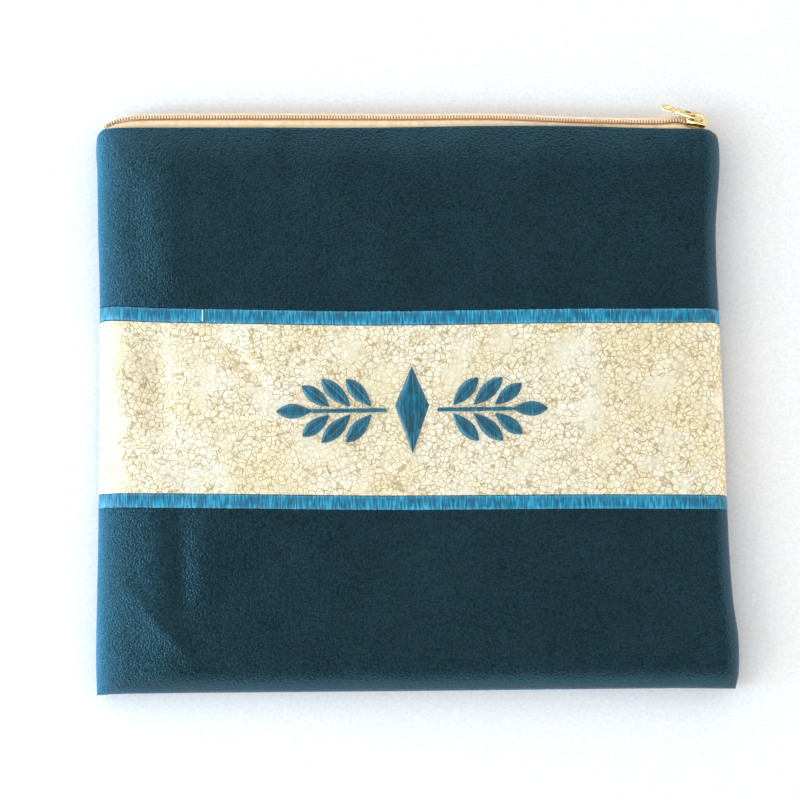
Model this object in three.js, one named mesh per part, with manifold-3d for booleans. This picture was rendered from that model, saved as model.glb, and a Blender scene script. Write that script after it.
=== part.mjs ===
// A flat zipped tallit bag, lying face up. Millimetres.
// +X runs along the zip to the closed end, +Y points from the bottom seam to the zip, +Z points up
// out of the front. The origin is under the middle of the bag, on the surface that it lies on.
import * as THREE from "three";
import { mergeVertices } from "three/addons/utils/BufferGeometryUtils.js";
import Module from "manifold-3d";

// Bag body
const bag_width = 326; // between the side seams
const panel_height = 291.5; // from the bottom seam to the mouth under the zip
const seam_height = 4.2; // of the side and bottom seams above the ground
const front_rise = 9.5; // of the front above the seams
const wall = 1.6; // faux leather with its backing
const gap = 0.3; // between neighbouring pieces
const left_corner = 5; // radius of the top left corner
const right_corner = 6.5; // radius of the top right corner
const edge_wander = 10; // unit of the drift of the four edges from a true rectangle

// How far the front takes to roll up from each seam, and the same for the back
const left_roll = 17;
const right_roll = 9;
const bottom_roll = 12;
const mouth_roll = 22;
const mouth_share = 0.66; // of the front's rise that is left at the mouth
const mouth_lean = 0.27; // how far the wall leans outwards at the mouth, as the sine of its angle
const back_roll = 9;
const mouth_hump = 1.8; // lift of the mouth over the slider
const hump_reach = 15;

// Embroidery
const border_width = 7.3;
const border_lift = 0.5; // of the satin-stitch borders above their neighbours
const ornament_length = 138;
const ornament_height = 44;
const ornament_rise = 1.0; // of its widest stitches
const thread_height = 0.35; // of its narrowest
const thread_slope = 0.4; // gain of height with half width
const lozenge_half = 9;
const stem_width = 2.2;
const stem_start = 13; // from the ornament's middle
const leaf_gap = 0.9; // between a leaf's root and the stem, past the gap
const leaf_fullness = 0.85; // under 1 fills a leaf out towards its ends
const tip_half = 0.25; // half width of a leaf at its two ends

// Folds and dents
const fold_depth = 1.6;
const fold_reach = 9;

// Zip
const zip_reach = 10; // unit of how far the route of the zip lies beyond the mouth
const zip_height = 10; // unit of its height
const zip_spread = 10; // unit of the width of its tapes' straight part
const tape_thickness = 1.0;
const tape_allowance = 6; // sewn under the panels
const sewn_clearance = 0.75; // between a tape and the wall that it is sewn to
const tape_bend = 0.8; // radius of the turn of the back tape
const back_climb = 2.4; // where the back tape starts to climb over the back's edge
const climb_run = 1.5; // level length over which it climbs
const least_run = 0.4; // between two bends of a tape
const sewn_rise = 0.2; // of the back tape over its sewn height, at the back's edge
const parting_run = 1.5; // length over which the tapes part round the slider's wedge
const parting_slack = 0.2;
const chain_width = 5.7;
const chain_thickness = 2.4;
const tape_start = 7.2; // from the left seam to the tapes
const tape_end = 7.4; // from the tapes to the right seam
const chain_start = 4.4; // from the left seam to the chain
const zip_turn = 22; // length at each end of the zip where it bends most
const turn_step = 2.2; // between the zip's sections there
const zip_step = 15; // between its sections elsewhere

// Slider and puller
const slider_length = 11.5;
const slider_half = 4.5; // half width of its top plate at the flanges
const slider_rear_half = 3.9;
const lower_half = 3.6; // half width of its bottom plate
const plate = 0.9; // thickness of both plates
const plate_waist = 0.5; // where the plates start to widen
const plate_round = 1.6; // of their corners
const slider_edge = 0.2; // chamfer of its plates and bridge
const flange = 1.1;
const flange_rear_inset = 0.9;
const flange_front_inset = 1.6;
const flange_waist = 0.35; // how far the flanges step in behind the waist
const wedge_half = 1.5;
const wedge_nose = 2.4; // from the slider's middle to its wedge's widest place
const wedge_inset = 0.5; // of the wedge from the slider's front
const wedge_taper = 0.7; // share of its width that is left there
const join_depth = 0.3; // that joined shapes share
const slider_inset = 13; // from the middle of the slider to the right seam
const slider_turn = THREE.MathUtils.degToRad(14); // of the slider towards the corner
const slider_tilt = 43; // degrees that the slider's face turns up from the horizontal
const bridge_half = 1.1;
const bridge_rear = 4.2; // behind the middle of the slider
const bridge_front = 3.4;
const bridge_leg = 1.3;
const bridge_round = 2.5; // length of the bridge's rounded ends
const slot_height = 2.2; // under the bridge
const bridge_crown = 0.9; // thickness over the slot
const hinge_back = 1.6; // from the puller's hinge to the slider's middle
const puller_thickness = 1.2;
const puller_reach = 18.7; // from its hinge to its far end
const puller_lift = THREE.MathUtils.degToRad(3); // off the chain, at rest
const eye_reach = 5.4; // from the hinge to the end of the puller's eye
const eye_half = 1.7;
const eye_round = 0.7;
const arm = 0.9;
const neck = 2.4; // length over which the eye's outside narrows to the stem
const stem_half = 1.6;
const ring_length = 6.8;
const ring_half = 2.8;
const ring_neck = 1.2; // length over which the stem widens to the ring
const ring_round = 2.2;
const ring_wall = 1.4;
const ring_hole_half = 1.45;
const collar_place = 3.6; // from the eye to the collar
const collar_length = 1.2;
const collar_proud = 0.35;
const puller_edge = 0.22; // rounding of the puller's edges

// Drift of the side seams outwards, in edge_wander, at shares of the way up the panel
const left_edge = [
  { up: 0.0, out: -0.05 },
  { up: 0.07, out: -0.01 },
  { up: 0.175, out: -0.05 },
  { up: 0.25, out: -0.09 },
  { up: 0.5, out: -0.15 },
  { up: 0.72, out: -0.13 },
  { up: 0.82, out: -0.04 },
  { up: 0.93, out: 0.01 },
  { up: 0.962, out: 0.07 },
  { up: 1.0, out: 0.03 },
];
const right_edge = [
  { up: 0.0, out: 0.01 },
  { up: 0.03, out: 0.19 },
  { up: 0.09, out: 0.22 },
  { up: 0.16, out: 0.0 },
  { up: 0.26, out: -0.13 },
  { up: 0.45, out: -0.2 },
  { up: 0.66, out: -0.3 },
  { up: 0.82, out: -0.35 },
  { up: 0.93, out: -0.08 },
  { up: 0.965, out: -0.04 },
  { up: 1.0, out: -0.08 },
];
// The same for the bottom seam and the mouth, at shares of the way across
const bottom_edge = [
  { across: 0.0, out: 0.02 },
  { across: 0.05, out: -0.04 },
  { across: 0.5, out: 0.0 },
  { across: 0.9, out: 0.02 },
  { across: 1.0, out: 0.08 },
];
const mouth_edge = [
  { across: 0.0, out: 0.14 },
  { across: 0.05, out: 0.14 },
  { across: 0.25, out: 0.07 },
  { across: 0.4, out: -0.01 },
  { across: 0.63, out: -0.01 },
  { across: 0.76, out: -0.07 },
  { across: 0.88, out: -0.22 },
  { across: 0.97, out: -0.34 },
  { across: 1.0, out: -0.38 },
];
// Middle lines of the two borders, at shares of the way up
const border_lines = [
  { across: 0.0, upper: 0.6665, lower: 0.336 },
  { across: 0.12, upper: 0.6605, lower: 0.334 },
  { across: 0.5, upper: 0.6541, lower: 0.3277 },
  { across: 0.86, upper: 0.6574, lower: 0.327 },
  { across: 1.0, upper: 0.6613, lower: 0.3277 },
];
// Ridges (positive depth) and valleys, from one point to another; depth and reach are shares
const folds = [
  { across: 0.095, up: 0.79, to_across: 0.175, to_up: 0.68, depth: 0.55, reach: 1.2 },
  { across: 0.053, up: 0.93, to_across: 0.07, to_up: 0.72, depth: -0.45, reach: 0.9 },
  { across: 0.3, up: 1.0, to_across: 0.315, to_up: 0.87, depth: -0.45, reach: 0.9 },
  { across: 0.525, up: 1.02, to_across: 0.7, to_up: 0.8, depth: 0.45, reach: 1.5 },
  { across: 0.86, up: 0.8, to_across: 0.93, to_up: 0.69, depth: 0.3, reach: 1.4 },
  { across: 0.09, up: 0.66, to_across: 0.1, to_up: 0.41, depth: -0.6, reach: 1.1 },
  { across: 0.03, up: 0.63, to_across: 0.035, to_up: 0.46, depth: 0.4, reach: 1.2 },
  { across: 0.18, up: 0.64, to_across: 0.29, to_up: 0.5, depth: 0.45, reach: 0.8 },
  { across: 0.11, up: 0.39, to_across: 0.22, to_up: 0.352, depth: -0.4, reach: 0.7 },
  { across: 0.0, up: 0.24, to_across: 0.17, to_up: 0.03, depth: 0.75, reach: 0.9 },
  { across: -0.02, up: 0.19, to_across: 0.12, to_up: 0.03, depth: -0.5, reach: 0.9 },
  { across: 0.12, up: 0.35, to_across: 0.135, to_up: 0.12, depth: -0.6, reach: 1.2 },
  { across: 0.87, up: 0.27, to_across: 0.97, to_up: 0.06, depth: 0.5, reach: 1.6 },
  { across: 0.63, up: 0.1, to_across: 0.72, to_up: 0.16, depth: 0.25, reach: 0.7 },
];
// The zip's route: out, height and spread in zip_reach, zip_height and zip_spread, tilt of its
// face up from the horizontal in degrees; spread is the tapes' straight part beside the chain
const route_start = [
  { across: 0.004, out: -0.04, height: 0.47, tilt: 6, spread: 0.15 },
  { across: 0.02, out: 0.33, height: 0.52, tilt: 13, spread: 0.2 },
  { across: 0.045, out: 0.6, height: 0.59, tilt: 21, spread: 0.26 },
  { across: 0.085, out: 0.68, height: 0.63, tilt: 25, spread: 0.3 },
  { across: 0.25, out: 0.64, height: 0.63, tilt: 25, spread: 0.3 },
  { across: 0.5, out: 0.5, height: 0.63, tilt: 24, spread: 0.3 },
  { across: 0.64, out: 0.47, height: 0.63, tilt: 24, spread: 0.3 },
  { across: 0.76, out: 0.25, height: 0.63, tilt: 24, spread: 0.3 },
  { across: 0.84, out: 0.16, height: 0.63, tilt: 26, spread: 0.3 },
  { across: 0.9, out: 0.14, height: 0.63, tilt: 31, spread: 0.36 },
];
const slider_route = { out: 0.03, height: 0.65, spread: 0.48, end_spread: 0.32 };
const route_end = [{ across: 0.99, out: -0.33, height: 0.55, tilt: 30, spread: 0.28 }];
// Leaves of one half of the ornament: along its stem, which side of it, and their own sizes as
// shares of the ornament's length and height; lean is their angle from the stem in degrees
const leaves = [
  { along: 0.16, side: 1, length: 0.135, width: 0.17, lean: 48 },
  { along: 0.16, side: -1, length: 0.135, width: 0.17, lean: 48 },
  { along: 0.43, side: 1, length: 0.145, width: 0.175, lean: 44 },
  { along: 0.43, side: -1, length: 0.145, width: 0.175, lean: 44 },
  { along: 0.7, side: 1, length: 0.125, width: 0.16, lean: 38 },
  { along: 0.7, side: -1, length: 0.125, width: 0.16, lean: 38 },
  { along: 1.0, side: 0, length: 0.13, width: 0.17, lean: 0 },
];

const teal_leather = new THREE.MeshStandardMaterial({ color: 0x22363e, roughness: 0.55 });
const foil = new THREE.MeshStandardMaterial({ color: 0xf1e8cb, roughness: 0.45 });
const teal_thread = new THREE.MeshStandardMaterial({ color: 0x3186a5, roughness: 0.4 });
const tape_cloth = new THREE.MeshStandardMaterial({ color: 0xe7cba4, roughness: 0.85 });
const coil_nylon = new THREE.MeshStandardMaterial({ color: 0xe4c7a3, roughness: 0.5 });
const gold_metal = new THREE.MeshStandardMaterial({ color: 0xd5c196, roughness: 0.3, metalness: 1 });

const wasm = await Module();
wasm.setup();

// Value of a column of a table at a place between its rows, on a smooth curve through them.
function read_table(rows, key, place, column) {
  const last = rows.length - 1;
  let i = 0;
  while (i < last - 1 && place > rows[i + 1][key]) i += 1;
  const slope_at = (k) => {
    const low = rows[Math.max(0, k - 1)];
    const high = rows[Math.min(last, k + 1)];
    return (high[column] - low[column]) / (high[key] - low[key]);
  };
  const span = rows[i + 1][key] - rows[i][key];
  const t = THREE.MathUtils.clamp((place - rows[i][key]) / span, 0, 1);
  const rise = t * t * (3 - 2 * t);
  const start = rows[i][column] * (1 - rise) + rows[i + 1][column] * rise;
  const leave = slope_at(i) * span * t * (1 - t) ** 2;
  const arrive = slope_at(i + 1) * span * t * t * (1 - t);
  return start + leave - arrive;
}

// How far a round corner cuts in at a distance from where it starts.
function corner_cut(radius, into) {
  const t = THREE.MathUtils.clamp(into, 0, radius);
  return radius - Math.sqrt(radius * radius - t * t);
}

const corner_share = 1 - Math.SQRT1_2; // from a square corner to the middle of its round one
const wander_at = (rows, key, share) => edge_wander * read_table(rows, key, share, "out");
const mouth_line = (x) => panel_height + wander_at(mouth_edge, "across", x / bag_width + 0.5);
const mouth_left = mouth_line(-bag_width / 2);
const mouth_right = mouth_line(bag_width / 2);

function left_seam(share) {
  const y = share * (mouth_left - left_corner * corner_share);
  const out = wander_at(left_edge, "up", share);
  const cut = corner_cut(left_corner, y - (mouth_left - left_corner));
  return new THREE.Vector2(-bag_width / 2 - out + cut, y);
}

function right_seam(share) {
  const y = share * (mouth_right - right_corner * corner_share);
  const out = wander_at(right_edge, "up", share);
  const cut = corner_cut(right_corner, y - (mouth_right - right_corner));
  return new THREE.Vector2(bag_width / 2 + out - cut, y);
}

function bottom_seam(share) {
  const x = THREE.MathUtils.lerp(left_seam(0).x, right_seam(0).x, share);
  return new THREE.Vector2(x, -wander_at(bottom_edge, "across", share));
}

function mouth(share) {
  const low = left_seam(1).x;
  const high = right_seam(1).x;
  const x = THREE.MathUtils.lerp(low, high, share);
  const left_start = low - left_corner * corner_share + left_corner;
  const right_start = high + right_corner * corner_share - right_corner;
  const cut = corner_cut(left_corner, left_start - x) + corner_cut(right_corner, x - right_start);
  return new THREE.Vector2(x, mouth_line(x) - cut);
}

// Place in plan of a share across and up, with its distances to the four edges.
function plan(u, v) {
  const low = bottom_seam(u);
  const high = mouth(u);
  const left = left_seam(v);
  const right = right_seam(v);
  const corner = (axis) =>
    (1 - u) * ((1 - v) * left_seam(0)[axis] + v * left_seam(1)[axis]) +
    u * ((1 - v) * right_seam(0)[axis] + v * right_seam(1)[axis]);
  const x = (1 - v) * low.x + v * high.x + (1 - u) * left.x + u * right.x - corner("x");
  const y = (1 - v) * low.y + v * high.y + (1 - u) * left.y + u * right.y - corner("y");
  return { x, y, left: x - left.x, right: right.x - x, bottom: y - low.y, top: high.y - y };
}

// Share across and up of a place in plan.
function locate(x, y) {
  let u = x / bag_width + 0.5;
  let v = y / panel_height;
  for (let turn = 0; turn < 6; turn += 1) {
    const p = plan(u, v);
    u += (x - p.x) / bag_width;
    v += (y - p.y) / panel_height;
  }
  return { u, v };
}

// A seam's quarter-round edge: rise goes from 0 to 1 and lean from 1 to 0 over the reach.
function roll(distance, reach) {
  const lean = Math.max(0, 1 - Math.max(0, distance) / reach);
  return { rise: Math.sqrt(1 - lean * lean), lean };
}

function fold_lift(x, y) {
  let lift = 0;
  for (const fold of folds) {
    const ax = (fold.across - 0.5) * bag_width;
    const ay = fold.up * panel_height;
    const bx = (fold.to_across - 0.5) * bag_width;
    const by = fold.to_up * panel_height;
    const length = Math.hypot(bx - ax, by - ay);
    const along = ((x - ax) * (bx - ax) + (y - ay) * (by - ay)) / (length * length);
    if (along <= 0 || along >= 1) continue;
    const aside = ((x - ax) * (by - ay) - (y - ay) * (bx - ax)) / length;
    const fade = Math.sin(Math.PI * along);
    const shape = Math.exp(-((aside / (fold_reach * fold.reach)) ** 2));
    lift += fold_depth * fold.depth * fade * shape;
  }
  return lift;
}

// The front's two faces at a share across and up; lift raises it, as the borders are.
function front_faces(u, v, lift = 0) {
  const p = plan(u, v);
  const left = roll(p.left, left_roll);
  const right = roll(p.right, right_roll);
  const bottom = roll(p.bottom, bottom_roll);
  const into_mouth = THREE.MathUtils.clamp(p.top / mouth_roll, 0, 1);
  const mouth_rise = mouth_share + (1 - mouth_share) * Math.sin((into_mouth * Math.PI) / 2);
  const hump_x = (p.x - (bag_width / 2 - slider_inset)) / hump_reach;
  const hump = mouth_hump * Math.exp(-hump_x * hump_x - (p.top / hump_reach) ** 2);
  const full = left.rise * right.rise * bottom.rise;
  const rise = front_rise * mouth_rise + hump + fold_lift(p.x, p.y) + lift;
  const outer = new THREE.Vector3(p.x, p.y, seam_height + gap / 2 + full * rise);
  const lean_x = left.lean - right.lean;
  const lean_y = bottom.lean - mouth_lean * (1 - into_mouth);
  const inner = new THREE.Vector3(
    outer.x + wall * lean_x,
    outer.y + wall * lean_y,
    outer.z - wall * full,
  );
  return { outer, inner };
}

function back_faces(u, v) {
  const p = plan(u, v);
  const left = roll(p.left, back_roll);
  const right = roll(p.right, back_roll);
  const bottom = roll(p.bottom, back_roll);
  const full = left.rise * right.rise * bottom.rise;
  const outer = new THREE.Vector3(p.x, p.y, (seam_height - gap / 2) * (1 - full));
  const inner = new THREE.Vector3(
    outer.x + wall * (left.lean - right.lean),
    outer.y + wall * bottom.lean,
    outer.z + wall * full,
  );
  return { outer, inner };
}

// A mesh from vertices and faces, with its faces turned outwards.
function closed_mesh(name, points, faces, material) {
  let volume = 0;
  for (const [a, b, c] of faces) {
    volume += points[a].dot(new THREE.Vector3().crossVectors(points[b], points[c]));
  }
  const turned = volume < 0 ? faces.map(([a, b, c]) => [a, c, b]) : faces;
  const geometry = new THREE.BufferGeometry().setFromPoints(points);
  geometry.setIndex(turned.flat());
  geometry.computeVertexNormals();
  const mesh = new THREE.Mesh(geometry, material);
  mesh.name = name;
  return mesh;
}

// A wall between two faces sampled at every column and row.
function wall_mesh(name, columns, rows, faces_at, material) {
  const points = [];
  const faces = [];
  const wide = rows.length;
  for (const u of columns) {
    for (const t of rows) points.push(faces_at(u, t).outer);
  }
  for (const u of columns) {
    for (const t of rows) points.push(faces_at(u, t).inner);
  }
  const inner_start = columns.length * wide;
  const quad = (a, b, c, d) => faces.push([a, b, c], [a, c, d]);
  for (let i = 0; i < columns.length - 1; i += 1) {
    for (let j = 0; j < wide - 1; j += 1) {
      const a = i * wide + j;
      quad(a, a + wide, a + wide + 1, a + 1);
      const b = inner_start + a;
      quad(b, b + 1, b + wide + 1, b + wide);
    }
  }
  const side = (a, b) => quad(a, inner_start + a, inner_start + b, b);
  const last_column = (columns.length - 1) * wide;
  for (let j = 0; j < wide - 1; j += 1) {
    side(j + 1, j);
    side(last_column + j, last_column + j + 1);
  }
  for (let i = 0; i < columns.length - 1; i += 1) {
    side(i * wide, (i + 1) * wide);
    side((i + 1) * wide + wide - 1, i * wide + wide - 1);
  }
  return closed_mesh(name, points, faces, material);
}

// A solid through closed sections with equal numbers of corners, capped at both ends.
function sweep_mesh(name, sections, material) {
  const count = sections[0].length;
  const points = sections.flat();
  const faces = [];
  for (let i = 0; i < sections.length - 1; i += 1) {
    for (let j = 0; j < count; j += 1) {
      const a = i * count + j;
      const b = i * count + ((j + 1) % count);
      faces.push([a, b, b + count], [a, b + count, a + count]);
    }
  }
  // A section runs up one side and back down the other, so its cap is a ladder between the two.
  const cap = (start, turn) => {
    const base = start * count;
    for (let low = 0, high = count - 1; high - low > 1; low += 1, high -= 1) {
      const ring = [[low, low + 1, high]];
      if (high - low > 2) ring.push([low + 1, high - 1, high]);
      for (const [i, j, k] of ring) {
        faces.push(turn ? [base + k, base + j, base + i] : [base + i, base + j, base + k]);
      }
    }
  };
  cap(0, true);
  cap(sections.length - 1, false);
  return closed_mesh(name, points, faces, material);
}

// Shares from 0 to 1 with steps that grow away from the ends and then stay even.
function shares(length, start_steps, end_steps, step) {
  const inner = length - start_steps.at(-1) - end_steps.at(-1);
  const count = Math.max(1, Math.round(inner / step));
  const even_step = inner / count;
  const even = Array.from({ length: count - 1 }, (_, i) => start_steps.at(-1) + even_step * (i + 1));
  const ends = end_steps.map((d) => length - d).reverse();
  return [...start_steps, ...even, ...ends].map((d) => d / length);
}

const seam_steps = [0, 0.7, 2.3, 5, 9, 14];
const mouth_steps = [0, 5, 11, 18];
const grid_step = 12;
const back_step = 32;
const columns = shares(bag_width, seam_steps, seam_steps, grid_step);
const lowest_border = panel_height * border_lines[2].lower;
const highest_border = panel_height * border_lines[2].upper;
const upper_rows = shares(panel_height - highest_border, [0, 5], mouth_steps, grid_step);
const band_rows = shares(highest_border - lowest_border, [0, 5], [0, 5], grid_step);
const lower_rows = shares(lowest_border, seam_steps, [0, 5], grid_step);

const border_share = border_width / panel_height / 2;
const half_gap = gap / panel_height / 2;
const line_at = (column, u) => read_table(border_lines, "across", u, column);
const mid = (low, high, t) => low + (high - low) * t;

function front_pieces() {
  const strip = (name, rows, low, high, material, lift = 0) =>
    wall_mesh(name, columns, rows, (u, t) => front_faces(u, mid(low(u), high(u), t), lift), material);
  const beside = (column, side) => (u) => line_at(column, u) + side * (border_share + half_gap);
  const within = (column, side) => (u) => line_at(column, u) + side * (border_share - half_gap);
  const border = (name, column) =>
    strip(name, [0, 1], within(column, -1), within(column, 1), teal_thread, border_lift);
  return [
    strip("front_upper_panel", upper_rows, beside("upper", 1), () => 1, teal_leather),
    border("front_upper_border", "upper"),
    strip("front_centre_band", band_rows, beside("lower", 1), beside("upper", -1), foil),
    border("front_lower_border", "lower"),
    strip("front_lower_panel", lower_rows, () => 0, beside("lower", -1), teal_leather),
  ];
}

function back_piece() {
  const back_columns = shares(bag_width, seam_steps, seam_steps, back_step);
  const back_rows = shares(panel_height, seam_steps, [0, 8], back_step);
  return wall_mesh("back_panel", back_columns, back_rows, back_faces, teal_leather);
}

// The route of the zip. Rows on the slider's own straight line keep it straight there.
const slider_x = bag_width / 2 - slider_inset;
function zip_rows() {
  const on_slider = [-0.8, -0.56, 0.38, 0.56, 0.7].map((share) => {
    const along = share * slider_length;
    return {
      across: (slider_x + along * Math.cos(slider_turn)) / bag_width + 0.5,
      out: slider_route.out - (along * Math.sin(slider_turn)) / zip_reach,
      height: slider_route.height,
      tilt: slider_tilt,
      spread: share > 0.5 ? slider_route.end_spread : slider_route.spread,
    };
  });
  return [...route_start, ...on_slider, ...route_end];
}
const route = zip_rows();

// Frame of the zip at a place across: its point, outward direction in plan, width and face.
function zip_frame(x) {
  const across = x / bag_width + 0.5;
  const value = (column) => read_table(route, "across", across, column);
  const y_at = (share) => panel_height + zip_reach * read_table(route, "across", share, "out");
  const step = 0.001;
  const slope = (y_at(across + step) - y_at(across - step)) / (2 * step * bag_width);
  const along = new THREE.Vector3(1, slope, 0).normalize();
  const outward = new THREE.Vector3(-along.y, along.x, 0);
  const tilt = THREE.MathUtils.degToRad(value("tilt"));
  const up = new THREE.Vector3(0, 0, 1);
  const width = outward.clone().multiplyScalar(-Math.sin(tilt)).addScaledVector(up, Math.cos(tilt));
  const face = outward.clone().multiplyScalar(Math.cos(tilt)).addScaledVector(up, Math.sin(tilt));
  const origin = new THREE.Vector3(x, y_at(across), zip_height * value("height"));
  return { origin, along, outward, width, face, spread: zip_spread * value("spread") };
}

const zip_point = (frame, across, off) =>
  frame.origin.clone().addScaledVector(frame.width, across).addScaledVector(frame.face, off);

const slider_frame = zip_frame(slider_x);
const along_slider = (x) => (x - slider_x) / Math.cos(slider_turn);

// Half the gap between the two tapes: they part at the slider's wedge.
function parting(x) {
  const opened = wedge_half + gap + parting_slack;
  const t = THREE.MathUtils.clamp((along_slider(x) - gap) / parting_run, 0, 1);
  return THREE.MathUtils.lerp((gap + parting_slack) / 2, opened, t);
}

// A line in a section, as points of {out, z}, thickened to a closed section.
function thicken(frame, line, thickness) {
  const left = [];
  const right = [];
  line.forEach((p, i) => {
    const before = line[Math.max(0, i - 1)];
    const after = line[Math.min(line.length - 1, i + 1)];
    const a = new THREE.Vector2(p.out - before.out, p.z - before.z).normalize();
    const b = new THREE.Vector2(after.out - p.out, after.z - p.z).normalize();
    const first = i === 0 ? b : a;
    const second = i === line.length - 1 ? a : b;
    const normal = new THREE.Vector2(-first.y - second.y, first.x + second.x).normalize();
    const spread = thickness / 2 / Math.max(0.5, normal.dot(new THREE.Vector2(-first.y, first.x)));
    left.push({ out: p.out + normal.x * spread, z: p.z + normal.y * spread });
    right.push({ out: p.out - normal.x * spread, z: p.z - normal.y * spread });
  });
  return [...left, ...right.reverse()].map((p) => {
    const place = frame.origin.clone().addScaledVector(frame.outward, p.out);
    return new THREE.Vector3(place.x, place.y, p.z);
  });
}

// Where a tape is sewn under the front wall or over the back wall, at a distance from the route.
function sewn_point(frame, out, side) {
  const place = frame.origin.clone().addScaledVector(frame.outward, out);
  const faces_at = side > 0 ? front_faces : back_faces;
  let faces = null;
  let x = place.x;
  let y = place.y;
  for (let turn = 0; turn < 4; turn += 1) {
    const { u, v } = locate(x, y);
    faces = faces_at(Math.min(u, 1), Math.min(v, 1));
    x += place.x - faces.inner.x;
    y += place.y - faces.inner.y;
  }
  const clear = sewn_clearance + tape_thickness / 2;
  return { out, z: faces.inner.z - side * clear };
}

function tape_line(frame, side) {
  const off = -gap - tape_thickness / 2;
  const flat = (across) => {
    const p = zip_point(frame, side * across, off).sub(frame.origin);
    return { out: p.dot(frame.outward), z: p.z + frame.origin.z };
  };
  const start = flat(parting(frame.origin.x));
  const end = flat(frame.spread);
  const to_mouth = (frame.origin.y - mouth_line(frame.origin.x)) / frame.outward.y;
  const line = [start, end];
  let entry = -to_mouth - least_run;
  if (side < 0) {
    const heading = new THREE.Vector2(end.out - start.out, end.z - start.z).normalize();
    const centre = { out: end.out + tape_bend * heading.y, z: end.z - tape_bend * heading.x };
    const from = Math.atan2(end.z - centre.z, end.out - centre.out);
    for (const share of [1 / 3, 2 / 3, 1]) {
      const angle = THREE.MathUtils.lerp(from, -Math.PI / 2, share);
      line.push({
        out: centre.out + tape_bend * Math.cos(angle),
        z: centre.z + tape_bend * Math.sin(angle),
      });
    }
    const low = line.at(-1);
    const sewn = sewn_point(frame, entry, side);
    const level = Math.min(low.out - least_run, back_climb - to_mouth);
    const foot = Math.min(low.out - 3 * least_run, back_climb - climb_run - to_mouth);
    line.push({ out: level, z: low.z });
    line.push({ out: foot, z: sewn.z + sewn_rise });
    entry = Math.min(entry, foot - 2 * least_run);
  } else {
    entry = Math.min(entry, end.out - 3 * least_run);
  }
  line.push(sewn_point(frame, entry, side));
  line.push(sewn_point(frame, entry - tape_allowance, side));
  return line;
}

// Places across for the sections of a zip piece: shared by all of them, apart from its own ends.
function zip_places(start, end) {
  const left_turn = tape_from + zip_turn;
  const right_turn = slider_x - zip_turn;
  const turns = Math.round(zip_turn / turn_step);
  const count = Math.round((right_turn - left_turn) / zip_step);
  const shared = [];
  for (let i = 0; i < turns; i += 1) shared.push(mid(tape_from, left_turn, i / turns));
  for (let i = 0; i < count; i += 1) shared.push(mid(left_turn, right_turn, i / count));
  for (let x = right_turn; x < tape_to; x += turn_step) shared.push(x);
  const clear = turn_step / 3;
  return [start, ...shared.filter((x) => x > start + clear && x < end - clear), end];
}

const tape_from = -bag_width / 2 + tape_start;
const tape_to = bag_width / 2 - tape_end;
function tape_piece(name, side) {
  const sections = zip_places(tape_from, tape_to).map((x) => {
    const frame = zip_frame(x);
    return thicken(frame, tape_line(frame, side), tape_thickness);
  });
  return sweep_mesh(name, sections, tape_cloth);
}

function chain_piece() {
  const half = chain_width / 2;
  const shoulder = chain_width / 3;
  const outline = [
    [-half, 0],
    [half, 0],
    [half, chain_thickness / 2],
    [shoulder, chain_thickness],
    [-shoulder, chain_thickness],
    [-half, chain_thickness / 2],
  ];
  const end = slider_x - gap * Math.cos(slider_turn);
  const sections = zip_places(-bag_width / 2 + chain_start, end).map((x) => {
    const frame = zip_frame(x);
    return outline.map(([across, off]) => zip_point(frame, across, off));
  });
  return sweep_mesh("zip_chain", sections, coil_nylon);
}

// A closed geometry as a solid that can be joined and cut.
function to_solid(geometry) {
  const bare = geometry.clone();
  bare.deleteAttribute("normal");
  bare.deleteAttribute("uv");
  const merged = mergeVertices(bare, 1e-4);
  return new wasm.Manifold(
    new wasm.Mesh({
      numProp: 3,
      vertProperties: merged.attributes.position.array,
      triVerts: new Uint32Array(merged.index.array),
    }),
  );
}

function from_solid(name, solid, material) {
  const mesh_data = solid.getMesh();
  const geometry = new THREE.BufferGeometry();
  geometry.setAttribute("position", new THREE.BufferAttribute(mesh_data.vertProperties, 3));
  geometry.setIndex(new THREE.BufferAttribute(mesh_data.triVerts, 1));
  geometry.computeVertexNormals();
  const mesh = new THREE.Mesh(geometry, material);
  mesh.name = name;
  return mesh;
}

// A plate of the slider: wide at its front, narrower at its rear, corners rounded.
function plate_outline(front_half, rear_half) {
  const front = slider_length / 2;
  const round = plate_round;
  const widened = plate_waist + 2 * round;
  const shape = new THREE.Shape();
  shape.moveTo(-front + round, -rear_half);
  shape.lineTo(plate_waist, -rear_half);
  shape.quadraticCurveTo(plate_waist + round, -front_half, widened, -front_half);
  shape.lineTo(front - round, -front_half);
  shape.quadraticCurveTo(front, -front_half, front, -front_half + round);
  shape.lineTo(front, front_half - round);
  shape.quadraticCurveTo(front, front_half, front - round, front_half);
  shape.lineTo(widened, front_half);
  shape.quadraticCurveTo(plate_waist + round, front_half, plate_waist, rear_half);
  shape.lineTo(-front + round, rear_half);
  shape.quadraticCurveTo(-front, rear_half, -front, rear_half - round);
  shape.lineTo(-front, -rear_half + round);
  shape.quadraticCurveTo(-front, -rear_half, -front + round, -rear_half);
  return shape;
}

const extruded = (shape, depth, edge = 0, curveSegments = 4) =>
  new THREE.ExtrudeGeometry(shape, {
    depth: depth - 2 * edge,
    bevelEnabled: edge > 0,
    bevelThickness: edge,
    bevelSize: edge,
    bevelOffset: -edge,
    bevelSegments: 1,
    curveSegments,
  }).translate(0, 0, edge);

// Heights in the slider's own frame, from the face of the tapes outwards
const lower_top = -gap - tape_thickness - gap;
const upper_under = chain_thickness + gap;
const upper_top = upper_under + plate;

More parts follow.
